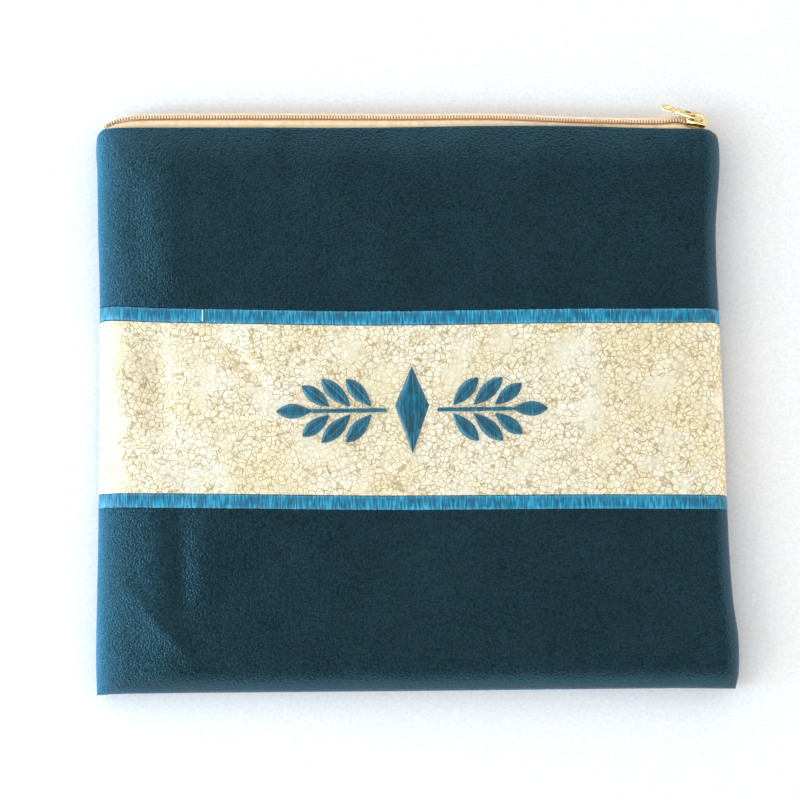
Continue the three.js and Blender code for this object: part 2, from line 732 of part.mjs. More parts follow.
function wedge_outline() {
  const end = slider_length / 2 - wedge_inset;
  const shape = new THREE.Shape();
  shape.moveTo(gap, 0);
  shape.lineTo(wedge_nose, -wedge_half);
  shape.lineTo(end, -wedge_half * wedge_taper);
  shape.lineTo(end, wedge_half * wedge_taper);
  shape.lineTo(wedge_nose, wedge_half);
  return shape;
}

function flange_outline(side) {
  const rear = -slider_length / 2 + flange_rear_inset;
  const front = slider_length / 2 - flange_front_inset;
  const inside = chain_width / 2 + gap;
  const outside = inside + flange;
  const shape = new THREE.Shape();
  shape.moveTo(rear, side * inside);
  shape.lineTo(front, side * inside);
  shape.lineTo(front, side * outside);
  shape.lineTo(plate_waist + plate_round, side * outside);
  shape.lineTo(plate_waist, side * (outside - flange_waist));
  shape.lineTo(rear, side * (outside - flange_waist));
  return shape;
}

// The bridge from the side: a low arch over the slot that the puller's eye lies in.
function bridge_outline() {
  const crown = slot_height + bridge_crown;
  const rear_inside = -bridge_rear + bridge_leg;
  const front_inside = bridge_front - bridge_leg;
  const shape = new THREE.Shape();
  shape.moveTo(-bridge_rear, -join_depth);
  shape.quadraticCurveTo(-bridge_rear, crown, -bridge_rear + bridge_round, crown);
  shape.lineTo(bridge_front - bridge_round, crown);
  shape.quadraticCurveTo(bridge_front, crown, bridge_front, -join_depth);
  shape.lineTo(front_inside, -join_depth);
  shape.quadraticCurveTo(front_inside, slot_height, front_inside - bridge_leg, slot_height);
  shape.lineTo(rear_inside + bridge_leg, slot_height);
  shape.quadraticCurveTo(rear_inside, slot_height, rear_inside, -join_depth);
  return shape;
}

function slider_piece() {
  const upper = extruded(plate_outline(slider_half, slider_rear_half), plate, slider_edge);
  upper.translate(0, 0, upper_under);
  const lower_rear = lower_half - flange_waist;
  const lower = extruded(plate_outline(lower_half, lower_rear), plate, slider_edge);
  lower.translate(0, 0, lower_top - plate);
  const wedge = extruded(wedge_outline(), upper_under - lower_top + 2 * join_depth);
  wedge.translate(0, 0, lower_top - join_depth);
  const bridge = extruded(bridge_outline(), 2 * bridge_half, slider_edge);
  bridge.translate(0, 0, -bridge_half).rotateX(Math.PI / 2).translate(0, 0, upper_top);
  const flanges = [-1, 1].map((side) => extruded(flange_outline(side), upper_under + join_depth));
  const others = [lower, wedge, bridge, ...flanges].map(to_solid);
  const solid = others.reduce((sum, next) => sum.add(next), to_solid(upper));
  return from_solid("zip_slider", solid, gold_metal);
}

// The puller lies along -X from its hinge.
function puller_piece() {
  const outer_half = eye_half + arm;
  const bar = puller_thickness / 2;
  const ring_start = -(puller_reach - ring_length);
  const stem_start = -eye_reach - neck;
  const stem_bend = -eye_reach - neck / 2;
  const shape = new THREE.Shape();
  shape.moveTo(bar, -outer_half + eye_round);
  shape.quadraticCurveTo(bar, -outer_half, bar - eye_round, -outer_half);
  shape.lineTo(-eye_reach + arm, -outer_half);
  shape.quadraticCurveTo(stem_bend, -stem_half, stem_start, -stem_half);
  shape.lineTo(ring_start + ring_neck, -stem_half);
  shape.quadraticCurveTo(ring_start, -ring_half, ring_start - ring_round, -ring_half);
  shape.quadraticCurveTo(-puller_reach, -ring_half, -puller_reach, 0);
  shape.quadraticCurveTo(-puller_reach, ring_half, ring_start - ring_round, ring_half);
  shape.quadraticCurveTo(ring_start, ring_half, ring_start + ring_neck, stem_half);
  shape.lineTo(stem_start, stem_half);
  shape.quadraticCurveTo(stem_bend, stem_half, -eye_reach + arm, outer_half);
  shape.lineTo(bar - eye_round, outer_half);
  shape.quadraticCurveTo(bar, outer_half, bar, outer_half - eye_round);
  const eye = new THREE.Path();
  eye.moveTo(-bar, -eye_half);
  eye.lineTo(-bar, eye_half);
  eye.lineTo(-eye_reach + eye_round, eye_half);
  eye.quadraticCurveTo(-eye_reach, eye_half, -eye_reach, 0);
  eye.quadraticCurveTo(-eye_reach, -eye_half, -eye_reach + eye_round, -eye_half);
  const hole = new THREE.Path();
  const near = ring_start - ring_neck;
  const far = -puller_reach + ring_wall;
  const hole_middle = (near + far) / 2;
  hole.moveTo(near, 0);
  hole.quadraticCurveTo(near, ring_hole_half, hole_middle, ring_hole_half);
  hole.quadraticCurveTo(far, ring_hole_half, far, 0);
  hole.quadraticCurveTo(far, -ring_hole_half, hole_middle, -ring_hole_half);
  hole.quadraticCurveTo(near, -ring_hole_half, near, 0);
  shape.holes.push(eye, hole);
  const body = extruded(shape, puller_thickness, puller_edge, 5);
  body.translate(0, 0, -puller_thickness / 2);
  const collar = new THREE.BoxGeometry(
    collar_length,
    2 * (stem_half + collar_proud),
    puller_thickness + 2 * collar_proud,
  );
  collar.translate(-eye_reach - collar_place, 0, 0);
  return from_solid("zip_puller", to_solid(body).add(to_solid(collar)), gold_metal);
}

function slider_group() {
  const group = new THREE.Group();
  const { along, width, face, origin } = slider_frame;
  const basis = new THREE.Matrix4().makeBasis(along, width.clone().negate(), face);
  group.quaternion.setFromRotationMatrix(basis);
  group.position.copy(origin);
  const puller = puller_piece();
  puller.position.set(-hinge_back, 0, upper_top + slot_height / 2);
  puller.rotation.y = puller_lift;
  group.add(slider_piece(), puller);
  return group;
}

// A raised stitched shape along a line, its half width from a function of the share along it.
function stitched(name, from, to, half_at, steps) {
  const along = to.clone().sub(from).normalize();
  const aside = new THREE.Vector2(-along.y, along.x);
  const sections = Array.from({ length: steps + 1 }, (_, i) => {
    const middle = from.clone().lerp(to, i / steps);
    const half = half_at(i / steps);
    const height = Math.min(ornament_rise, thread_height + half * thread_slope);
    const corner = (across, lift) => {
      const p = middle.clone().addScaledVector(aside, across * half);
      const { u, v } = locate(p.x, p.y);
      return new THREE.Vector3(p.x, p.y, front_faces(u, v).outer.z + gap + lift);
    };
    const [low, high] = [height / 2, height];
    return [corner(-1, 0), corner(1, 0), corner(0.95, low), corner(0, high), corner(-0.95, low)];
  });
  return sweep_mesh(name, sections, teal_thread);
}

const band_middle = (panel_height * (border_lines[2].upper + border_lines[2].lower)) / 2;
const leaf_shape = (half) => (share) => tip_half + half * Math.sin(Math.PI * share) ** leaf_fullness;
const lozenge_shape = (half) => (share) => tip_half + half * (1 - Math.abs(2 * share - 1));

function ornament_pieces() {
  const pieces = [];
  const end = ornament_length / 2 - ornament_length * leaves.at(-1).length;
  const lozenge_low = new THREE.Vector2(0, band_middle - ornament_height / 2);
  const lozenge_high = new THREE.Vector2(0, band_middle + ornament_height / 2);
  pieces.push(stitched("ornament_lozenge", lozenge_low, lozenge_high, lozenge_shape(lozenge_half), 6));
  for (const [side_name, hand] of [["left", -1], ["right", 1]]) {
    const on_stem = (share) => new THREE.Vector2(hand * mid(stem_start, end, share), band_middle);
    const stem_name = `ornament_stem_${side_name}`;
    pieces.push(stitched(stem_name, on_stem(0), on_stem(1), () => stem_width / 2, 6));
    leaves.forEach((leaf, i) => {
      const lean = THREE.MathUtils.degToRad(leaf.lean) * leaf.side;
      const heading = new THREE.Vector2(hand * Math.cos(lean), Math.sin(lean));
      const beside_stem = (stem_width / 2 + gap + leaf_gap) / Math.sin(Math.abs(lean));
      const clear = leaf.side === 0 ? gap : beside_stem;
      const base = on_stem(leaf.along).addScaledVector(heading, clear);
      const tip = base.clone().addScaledVector(heading, ornament_length * leaf.length);
      const half = (ornament_height * leaf.width) / 2;
      const name = `ornament_leaf_${side_name}_${i + 1}`;
      pieces.push(stitched(name, base, tip, leaf_shape(half), 5));
    });
  }
  return pieces;
}

const bag = new THREE.Group();
bag.add(
  ...front_pieces(),
  back_piece(),
  tape_piece("zip_tape_front", 1),
  tape_piece("zip_tape_back", -1),
  chain_piece(),
  slider_group(),
  ...ornament_pieces(),
);

// The origin under the middle of the whole bag
const model = new THREE.Group();
model.add(bag);
model.updateMatrixWorld(true);
const box = new THREE.Box3().setFromObject(bag, true);
bag.position.set(-(box.min.x + box.max.x) / 2, -(box.min.y + box.max.y) / 2, -box.min.z);

export default model;
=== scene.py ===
"""A flat zipped bag lying face up: dark leather, a pale foil band and satin-stitched borders.

Lengths of the bag are in millimetres and are turned into metres when a mesh is made. The camera,
the lights and the floor are placed in metres.
"""

import math
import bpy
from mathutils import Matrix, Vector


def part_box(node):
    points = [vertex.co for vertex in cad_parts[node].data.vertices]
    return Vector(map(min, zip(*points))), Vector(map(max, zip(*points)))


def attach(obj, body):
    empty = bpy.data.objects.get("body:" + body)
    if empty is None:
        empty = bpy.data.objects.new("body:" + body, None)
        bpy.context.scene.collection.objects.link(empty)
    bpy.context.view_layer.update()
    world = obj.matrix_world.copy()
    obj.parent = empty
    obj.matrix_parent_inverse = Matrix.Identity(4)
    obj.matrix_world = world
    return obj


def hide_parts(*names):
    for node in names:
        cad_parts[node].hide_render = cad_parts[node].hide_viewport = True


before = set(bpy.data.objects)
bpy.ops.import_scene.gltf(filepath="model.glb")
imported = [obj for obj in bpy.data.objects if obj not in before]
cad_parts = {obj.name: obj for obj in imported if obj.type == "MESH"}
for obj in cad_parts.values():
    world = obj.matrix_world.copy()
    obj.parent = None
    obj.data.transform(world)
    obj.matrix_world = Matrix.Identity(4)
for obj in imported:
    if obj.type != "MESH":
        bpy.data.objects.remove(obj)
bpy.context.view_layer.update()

from types import SimpleNamespace

import bmesh
import bpy
import numpy as np
from mathutils import Matrix, Vector, noise

MM = 0.001

# Bag body
BAG_WIDTH = 326
PANEL_HEIGHT = 291.5
SEAM_HEIGHT = 4.2
FRONT_RISE = 9.5
WALL = 1.6
GAP = 0.3
LEFT_CORNER = 5
RIGHT_CORNER = 6.5
CORNER_SHARE = 1 - math.sqrt(0.5)  # of its radius, how far a round corner's middle is cut back
EDGE_WANDER = 10
LEFT_ROLL = 17
RIGHT_ROLL = 9
BOTTOM_ROLL = 12
MOUTH_ROLL = 22
MOUTH_SHARE = 0.66
BACK_ROLL = 9
MOUTH_HUMP = 1.8
HUMP_REACH = 15
SLIDER_INSET = 13
FOLD_DEPTH = 2.2
FOLD_REACH = 9
EDGE_SAMPLES = 400  # places along an edge where its extent is measured
LINE_SAMPLES = 6000  # and along a line where its length is
LOCATE_ROUNDS = 6

# Leather and foil
PANEL_STEP = 1.5  # between the columns and rows of the leather's mesh
BACK_STEP = 4
ROUND_STEPS = 14  # rows of mesh over a rolled edge of the front, and of the back
BACK_ROUND_STEPS = 8
GRAIN_DEPTH = 0.75  # of the grain's bump at the left edge
GRAIN_REACH = 42  # from the left edge to where the grain is worn flattest and the painted blue highlight has faded
GRAIN_FLAT = 0.36  # share of its depth that is left there
PAINTED_EDGE_HIGHLIGHT = 0.72  # share of painted blue highlight in the leather right at the left edge
EDGE_NARROW = 8  # how fast that share fades, as a power
PAINTED_FLECK_HIGHLIGHT = 0.2  # share of painted blue highlight on random flecks of the grain there
WALL_ROUND = 0.45  # rounding of a cut or folded edge
WALL_CORNER = math.radians(60)  # an edge that is sharper than this is rounded
ROUNDING_SEGMENTS = 2
BROAD_WAVE = 0.45  # height and length of the leather's own slow waves
BROAD_LENGTH = 60
BROAD_SEED = 1.5  # a height in the noise, another one for each kind of wave
FINE_WAVE = 0.16
FINE_LENGTH = 15
FINE_SEED = 4.5
PUCKER = 0.16  # small puckers beside a sewn edge
PUCKER_LENGTH = 5
PUCKER_REACH = 6
PUCKER_SEED = 9.5

# Stitching
BORDER_WIDTH = 7.3
BORDER_LIFT = 0.5
THREAD_PITCH = 0.5
THREAD_RISE = 0.13  # of a thread's middle above the groove beside it
THREAD_STEPS = 4  # columns of mesh for each thread
BORDER_ROWS = (0, 0.04, 0.12, 0.3, 0.5, 0.7, 0.88, 0.96, 1.0)  # rows of mesh across a border
BORDER_CROWN = 5  # power of a border's rounded section; a higher one is flatter
HEIGHT_JITTER = 0.035  # of the threads of a border
EDGE_JITTER = 0.12  # of the ends of the stitches
EDGE_SINK = 0.35  # of the ends of the stitches into the leather
STITCH_WALL = 0.5
ORNAMENT_LENGTH = 138
ORNAMENT_HEIGHT = 44
ORNAMENT_RISE = 1.0
ORNAMENT_COLUMNS = 12
ORNAMENT_JITTER = 0.1
ORNAMENT_CROWN = 3
VEIN_HALF = 0.16  # of the groove along a shape's middle, as a share of its half width
THREAD_HEIGHT = 0.35
THREAD_SLOPE = 0.4
LOZENGE_HALF = 9
STEM_WIDTH = 2.2
STEM_START = 13
LEAF_GAP = 0.9
LEAF_FULLNESS = 0.85
TIP_HALF = 0.25
# Lean of the stitches and depth of the middle groove, as shares of half width and height
LOZENGE_LOOK = {"slant": 0.55, "vein": 0.5}
STEM_LOOK = {"slant": 0.5, "vein": 0.0}
LEAF_LOOK = {"slant": 0.6, "vein": 0.45}
STRAY_ACROSS = 0.1693  # a stray white thread on the upper border
STRAY_LENGTH = 5.8
STRAY_HALF = 0.25
STRAY_POINTS = 9
STRAY_DROP = 0.35  # share of its height that it loses towards its ends
STRAY_BEND = 6  # how near the ends it drops, as a power
CORD_SIDES = 6
STRAY_SIDES = 8

# Zip
ZIP_REACH = 10
ZIP_HEIGHT = 10
CHAIN_START = 4.4
CHAIN_THICKNESS = 2.4
SLIDER_LENGTH = 11.5
SLIDER_TURN = math.radians(14)
SLIDER_STATIONS = (-0.8, -0.56, 0.38, 0.56, 0.7)  # shares of its length where the zip is straight
METAL_ROUND = 0.12  # rounding of the metal's edges that are sharper than METAL_CORNER
METAL_CORNER = math.radians(25)
FLAT_ANGLE = math.radians(1)  # faces within this are one
MERGE = 0.002  # corners within this are one
ZIP_SAMPLES = 1500
COIL_PITCH = 1.5
WIRE_SIDES = 6
LOOP_STEPS = 12
WIRE_HALF = 0.36  # radius of the coil's wire
LOOP_HALF = 0.82  # from the middle of a loop's wire to its middle, at its round ends
LOOP_STRETCH = 1.9  # straight part of a loop
CORE_ASIDE = 1.77
LOOP_SLANT = math.radians(24)
CORE_HALF = 0.5
CORE_EVERY = 4  # half pitches of the coil from one ring of a core cord to the next
STITCH_OFF = 3.25  # from the middle of the chain to its sewing line
STITCH_LENGTH = 1.3
STITCH_HALF = 0.17
STITCH_SIDES = 8
STITCH_RINGS = 6
TAPE_SMOOTH = 2  # levels of smoothing
TAPE_FLAT = math.radians(60)  # triangles that meet within this become one face
TAPE_SQUARE = math.radians(80)  # and when its corners are within this of square
TAPE_ROWS = 4
TAPE_END_WIDTH = 3.2  # of the end of the tape that shows beyond the slider
TAPE_END_WALL = 0.7
TAPE_END_COLUMNS = 12
TAPE_END_ALONG = 0.032  # share of the mouth that it runs along, to the corner
TAPE_END_DOWN = 0.007  # share of the right seam that it runs down after the corner
TAPE_END_HEADING = 15  # degrees that its face is turned at its start, and turns by from there
TAPE_END_TURN = 60
TAPE_END_TAPER = 0.4
TAPE_END_THIN = 0.15  # how full it is at its start, as a share of a half wave
START_COLUMNS = 6
START_LOW = 0.004  # reach across the bag of the tape that closes the zip's start
START_HIGH = 0.035
START_INSET = 2.2  # how far inside the mouth it stands

# Camera, from the photo: 0.52 mm for each pixel of an 800 pixel frame
TARGET = Vector((-6.85, -1.22, 0)) * MM
CAMERA_DISTANCE = 0.9
CAMERA_TILT = math.radians(5)
CAMERA_ROLL = math.radians(-0.7)
CAMERA_LENS = 77.9
SENSOR = 36
CLIP_START = 0.05

# Light
WORLD_STRENGTH = 2.3
WORLD_LOW = (1.0, 1.0, 1.0)  # near the horizon
WORLD_HIGH = (0.07, 0.075, 0.08)  # overhead
WORLD_EDGE = 0.45  # where the dim ceiling starts and is whole, as the height of a direction
WORLD_TOP = 0.85
WORLD_LEFT = 1.25  # how bright the room is on either side
WORLD_RIGHT = 0.75
KEY_PLACE = (-1.3, -0.45, 0.75)
KEY_POWER = 6
KEY_SIZE = 0.35
WINDOW_PLACE = (-1.5, -0.15, 0.4)
WINDOW_POWER = 14
WINDOW_SIZE = 0.4
WINDOW_COLOUR = (0.28, 0.7, 1.0)
FLOOR_HALF = 3
FLOOR_DROP = 0.0003  # from the back's lowest point
FLOOR_COLOUR = (0.9, 0.9, 0.9, 1)

# Outline: how far out each edge stands, as shares of EDGE_WANDER
LEFT_EDGE = [
    {"up": 0.0, "out": -0.05},
    {"up": 0.07, "out": -0.01},
    {"up": 0.175, "out": -0.05},
    {"up": 0.25, "out": -0.09},
    {"up": 0.5, "out": -0.15},
    {"up": 0.72, "out": -0.13},
    {"up": 0.82, "out": -0.04},
    {"up": 0.93, "out": 0.01},
    {"up": 0.962, "out": 0.07},
    {"up": 1.0, "out": 0.03},
]
RIGHT_EDGE = [
    {"up": 0.0, "out": 0.01},
    {"up": 0.03, "out": 0.19},
    {"up": 0.09, "out": 0.22},
    {"up": 0.16, "out": 0.0},
    {"up": 0.26, "out": -0.13},
    {"up": 0.45, "out": -0.2},
    {"up": 0.66, "out": -0.3},
    {"up": 0.82, "out": -0.35},
    {"up": 0.93, "out": -0.08},
    {"up": 0.965, "out": -0.04},
    {"up": 1.0, "out": -0.08},
]
BOTTOM_EDGE = [
    {"across": 0.0, "out": 0.02},
    {"across": 0.05, "out": -0.04},
    {"across": 0.5, "out": 0.0},
    {"across": 0.9, "out": 0.02},
    {"across": 1.0, "out": 0.08},
]
MOUTH_EDGE = [
    {"across": 0.0, "out": 0.14},
    {"across": 0.05, "out": 0.14},
    {"across": 0.25, "out": 0.07},
    {"across": 0.4, "out": -0.01},
    {"across": 0.63, "out": -0.01},
    {"across": 0.76, "out": -0.07},
    {"across": 0.88, "out": -0.22},
    {"across": 0.97, "out": -0.34},
    {"across": 1.0, "out": -0.38},
]
# Middle lines of the two borders, as shares of the way up the bag
BORDER_LINES = [
    {"across": 0.0, "upper": 0.6665, "lower": 0.336},
    {"across": 0.12, "upper": 0.6605, "lower": 0.334},
    {"across": 0.5, "upper": 0.6541, "lower": 0.3277},
    {"across": 0.86, "upper": 0.6574, "lower": 0.327},
    {"across": 1.0, "upper": 0.6613, "lower": 0.3277},
]
# Ridges and valleys (negative) between two points, in shares of FOLD_DEPTH and FOLD_REACH
FOLDS = [
    {"across": 0.095, "up": 0.79, "to_across": 0.175, "to_up": 0.68, "depth": 0.55, "reach": 1.2},
    {"across": 0.053, "up": 0.93, "to_across": 0.07, "to_up": 0.72, "depth": -0.45, "reach": 0.9},
    {"across": 0.3, "up": 1.0, "to_across": 0.315, "to_up": 0.87, "depth": -0.45, "reach": 0.9},
    {"across": 0.525, "up": 1.02, "to_across": 0.7, "to_up": 0.8, "depth": 0.45, "reach": 1.5},
    {"across": 0.86, "up": 0.8, "to_across": 0.93, "to_up": 0.69, "depth": 0.3, "reach": 1.4},
    {"across": 0.095, "up": 0.66, "to_across": 0.115, "to_up": 0.41, "depth": -1.0, "reach": 0.85},
    {"across": 0.03, "up": 0.63, "to_across": 0.035, "to_up": 0.46, "depth": 0.4, "reach": 1.2},
    {"across": 0.19, "up": 0.63, "to_across": 0.285, "to_up": 0.515, "depth": -0.65, "reach": 0.4},
    {"across": 0.005, "up": 0.44, "to_across": 0.055, "to_up": 0.36, "depth": -0.45, "reach": 0.4},
    {"across": 0.04, "up": 0.37, "to_across": 0.11, "to_up": 0.36, "depth": -0.35, "reach": 0.35},
    {"across": 0.11, "up": 0.386, "to_across": 0.2, "to_up": 0.357, "depth": -0.45, "reach": 0.4},
    {"across": 0.0, "up": 0.248, "to_across": 0.17, "to_up": 0.04, "depth": 0.5, "reach": 0.45},
    {"across": -0.02, "up": 0.19, "to_across": 0.12, "to_up": 0.03, "depth": -0.5, "reach": 0.9},
    {"across": 0.125, "up": 0.36, "to_across": 0.14, "to_up": 0.1, "depth": -0.85, "reach": 0.95},
    {"across": 0.87, "up": 0.27, "to_across": 0.97, "to_up": 0.06, "depth": 0.5, "reach": 1.6},
    {"across": 0.63, "up": 0.1, "to_across": 0.72, "to_up": 0.16, "depth": 0.25, "reach": 0.7},
]
# The zip's route: out and height as shares of ZIP_REACH and ZIP_HEIGHT, tilt in degrees
ROUTE_START = [
    {"across": 0.004, "out": -0.04, "height": 0.47, "tilt": 6},
    {"across": 0.02, "out": 0.33, "height": 0.52, "tilt": 13},
    {"across": 0.045, "out": 0.6, "height": 0.59, "tilt": 21},
    {"across": 0.085, "out": 0.68, "height": 0.63, "tilt": 25},
    {"across": 0.25, "out": 0.64, "height": 0.63, "tilt": 25},
    {"across": 0.5, "out": 0.5, "height": 0.63, "tilt": 24},
    {"across": 0.64, "out": 0.47, "height": 0.63, "tilt": 24},
    {"across": 0.76, "out": 0.25, "height": 0.63, "tilt": 24},
    {"across": 0.84, "out": 0.16, "height": 0.63, "tilt": 26},
    {"across": 0.9, "out": 0.14, "height": 0.63, "tilt": 31},
]
SLIDER_ROUTE = {"out": 0.03, "height": 0.65, "tilt": 43}
ROUTE_END = [{"across": 0.99, "out": -0.33, "height": 0.55, "tilt": 30}]
# Leaves of one half of the ornament, as shares of its length and height; lean in degrees
LEAVES = [
    {"along": 0.16, "side": 1, "length": 0.135, "width": 0.17, "lean": 48},
    {"along": 0.16, "side": -1, "length": 0.135, "width": 0.17, "lean": 48},
    {"along": 0.43, "side": 1, "length": 0.145, "width": 0.175, "lean": 44},
    {"along": 0.43, "side": -1, "length": 0.145, "width": 0.175, "lean": 44},
    {"along": 0.7, "side": 1, "length": 0.125, "width": 0.16, "lean": 38},
    {"along": 0.7, "side": -1, "length": 0.125, "width": 0.16, "lean": 38},
    {"along": 1.0, "side": 0, "length": 0.13, "width": 0.17, "lean": 0},
]


def read_table(rows, key, place, column):
    """Values of a column at places between its rows, on a smooth curve through them."""
    keys = np.array([row[key] for row in rows])
    values = np.array([row[column] for row in rows])
    last = len(rows) - 1
    place = np.asarray(place, float)
    i = np.clip(np.searchsorted(keys, place, side="left") - 1, 0, last - 1)
    low = np.clip(np.arange(last + 1) - 1, 0, last)
    high = np.clip(np.arange(last + 1) + 1, 0, last)
    slopes = (values[high] - values[low]) / (keys[high] - keys[low])
    span = keys[i + 1] - keys[i]
    t = np.clip((place - keys[i]) / span, 0, 1)
    rise = t * t * (3 - 2 * t)
    level = values[i] * (1 - rise) + values[i + 1] * rise
    leave = slopes[i] * span * t * (1 - t) ** 2
    arrive = slopes[i + 1] * span * t * t * (1 - t)
    return level + leave - arrive


def corner_cut(radius, into):
    """How far a round corner cuts in at a distance from where it starts."""
    t = np.clip(into, 0, radius)
    return radius - np.sqrt(radius * radius - t * t)


def mouth_line(x):
    """Height up the bag of the mouth at a place across."""
    return PANEL_HEIGHT + EDGE_WANDER * read_table(MOUTH_EDGE, "across", x / BAG_WIDTH + 0.5, "out")


def side_seam(share, side):
    """Points of the left (-1) or right (1) seam at shares of the way up it."""
    radius = LEFT_CORNER if side < 0 else RIGHT_CORNER
    top = mouth_line(side * BAG_WIDTH / 2)
    y = share * (top - radius * CORNER_SHARE)
    out = EDGE_WANDER * read_table(LEFT_EDGE if side < 0 else RIGHT_EDGE, "up", share, "out")
    return side * (BAG_WIDTH / 2 + out - corner_cut(radius, y - (top - radius))), y


def mouth(share):
    """Points of the mouth at shares of the way across it."""
    low = side_seam(1.0, -1)[0]
    high = side_seam(1.0, 1)[0]
    x = low + (high - low) * share
    left = corner_cut(LEFT_CORNER, low - LEFT_CORNER * CORNER_SHARE + LEFT_CORNER - x)
    right = corner_cut(RIGHT_CORNER, x - (high + RIGHT_CORNER * CORNER_SHARE - RIGHT_CORNER))
    return x, mouth_line(x) - left - right


def plan(u, v):
    """Places in plan of shares across and up, with their distances to the four edges."""
    left = side_seam(v, -1)
    right = side_seam(v, 1)
    corners = {(i, j): side_seam(float(j), 2 * i - 1) for i in (0, 1) for j in (0, 1)}
    low_x = corners[0, 0][0] + (corners[1, 0][0] - corners[0, 0][0]) * u
    low = (low_x, -EDGE_WANDER * read_table(BOTTOM_EDGE, "across", u, "out"))
    high = mouth(u)

    def coons(k):
        """One coordinate of the surface that fills the four edges."""
        corner = (1 - u) * ((1 - v) * corners[0, 0][k] + v * corners[0, 1][k])
        corner = corner + u * ((1 - v) * corners[1, 0][k] + v * corners[1, 1][k])
        return (1 - v) * low[k] + v * high[k] + (1 - u) * left[k] + u * right[k] - corner

    x = coons(0)
    y = coons(1)
    return SimpleNamespace(
        x=x, y=y, left=x - left[0], right=right[0] - x, bottom=y - low[1], top=high[1] - y
    )


def locate(x, y):
    """Shares across and up of places in plan."""
    u = x / BAG_WIDTH + 0.5
    v = y / PANEL_HEIGHT
    for _ in range(LOCATE_ROUNDS):
        p = plan(u, v)
        u = u + (x - p.x) / BAG_WIDTH
        v = v + (y - p.y) / PANEL_HEIGHT
    return u, v


def roll_rise(distance, reach):
    """Rise of a seam's quarter-round edge, from 0 at the seam to 1 at its reach."""
    lean = np.clip(1 - np.maximum(distance, 0) / reach, 0, 1)
    return np.sqrt(1 - lean * lean)


def fold_lift(x, y):
    """Lift of the folds and dents."""
    lift = np.zeros_like(x)
    for fold in FOLDS:
        a = np.array([(fold["across"] - 0.5) * BAG_WIDTH, fold["up"] * PANEL_HEIGHT])
        b = np.array([(fold["to_across"] - 0.5) * BAG_WIDTH, fold["to_up"] * PANEL_HEIGHT])
        length = np.linalg.norm(b - a)
        run = (b - a) / length
        along = np.clip(((x - a[0]) * run[0] + (y - a[1]) * run[1]) / length, 0, 1)
        aside = (x - a[0]) * run[1] - (y - a[1]) * run[0]
        shape = np.exp(-((aside / (FOLD_REACH * fold["reach"])) ** 2))
        lift += FOLD_DEPTH * fold["depth"] * np.sin(np.pi * along) * shape
    return lift


def waves(x, y, height, length, seed):
    """Slow random waves of a height and length."""
    spots = zip(np.ravel(x) / length, np.ravel(y) / length)
    values = [noise.noise(Vector((a, b, seed))) for a, b in spots]
    return height * np.reshape(values, np.shape(x))


def front_points(u, v, lift=0.0):
    """Points of the front's outer face."""
    p = plan(u, v)
    full = roll_rise(p.left, LEFT_ROLL) * roll_rise(p.right, RIGHT_ROLL)
    full = full * roll_rise(p.bottom, BOTTOM_ROLL)
    into_mouth = np.clip(p.top / MOUTH_ROLL, 0, 1)
    mouth_rise = MOUTH_SHARE + (1 - MOUTH_SHARE) * np.sin(into_mouth * np.pi / 2)
    hump_x = (p.x - (BAG_WIDTH / 2 - SLIDER_INSET)) / HUMP_REACH
    hump = MOUTH_HUMP * np.exp(-hump_x * hump_x - (p.top / HUMP_REACH) ** 2)
    rise = FRONT_RISE * mouth_rise + hump + fold_lift(p.x, p.y) + lift
    return p, np.stack([p.x, p.y, SEAM_HEIGHT + GAP / 2 + full * rise], axis=-1)


def waved_front(u, v, sewn_at=()):
    """Points of the front with the leather's own waves, and puckers beside sewn lines up the bag."""
    p = plan(u, v)
    lift = waves(p.x, p.y, BROAD_WAVE, BROAD_LENGTH, BROAD_SEED)
    lift = lift + waves(p.x, p.y, FINE_WAVE, FINE_LENGTH, FINE_SEED)
    for line in sewn_at:
        away = np.abs(v - line(u)) * PANEL_HEIGHT
        puckers = waves(p.x, p.y, PUCKER, PUCKER_LENGTH, PUCKER_SEED)
        lift = lift + puckers * np.exp(-away / PUCKER_REACH)
    return front_points(u, v, lift)[1]


def back_points(u, v):
    """Points of the back's outer face."""
    p = plan(u, v)
    full = roll_rise(p.left, BACK_ROLL) * roll_rise(p.right, BACK_ROLL)
    full = full * roll_rise(p.bottom, BACK_ROLL)
    return np.stack([p.x, p.y, (SEAM_HEIGHT - GAP / 2) * (1 - full)], axis=-1)


def frame_shift():
    """From the bag's own middle line and bottom to the frame, found at the back's edges."""
    up = np.linspace(0, 1, EDGE_SAMPLES)
    low_x = side_seam(up, -1)[0].min()
    low_y = (-EDGE_WANDER * read_table(BOTTOM_EDGE, "across", up, "out")).min()
    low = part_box("back_panel")[0] / MM
    return np.array([low.x - low_x, low.y - low_y, 0.0])


SHIFT = frame_shift()


def crossings(length, start_reach, end_reach, step, round_steps=ROUND_STEPS):
    """Shares of a length, closer together where the leather rolls over at either end."""
    turn = 1 - np.cos(np.linspace(0, np.pi / 2, round_steps + 1))
    start = start_reach * turn if start_reach else np.zeros(1)
    end = length - end_reach * turn[::-1] if end_reach else np.full(1, float(length))
    count = max(2, round((end[0] - start[-1]) / step))
    even = np.linspace(start[-1], end[0], count + 1)
    return np.concatenate([start[:-1], even, end[1:]]) / length


def laid_grid(columns, rows, points_at):
    """A grid with a column and row for each share, its corners placed by points_at."""
    bm = bmesh.new()
    x_segments = len(columns) - 1
    y_segments = len(rows) - 1
    bmesh.ops.create_grid(bm, x_segments=x_segments, y_segments=y_segments, size=0.5)
    spots = np.array([vert.co for vert in bm.verts])
    i = np.rint((spots[:, 0] + 0.5) * x_segments).astype(int)
    j = np.rint((spots[:, 1] + 0.5) * y_segments).astype(int)
    points = (points_at(columns[i], rows[j]) + SHIFT) * MM
    for vert, point in zip(bm.verts, points):
        vert.co = point
    return bm


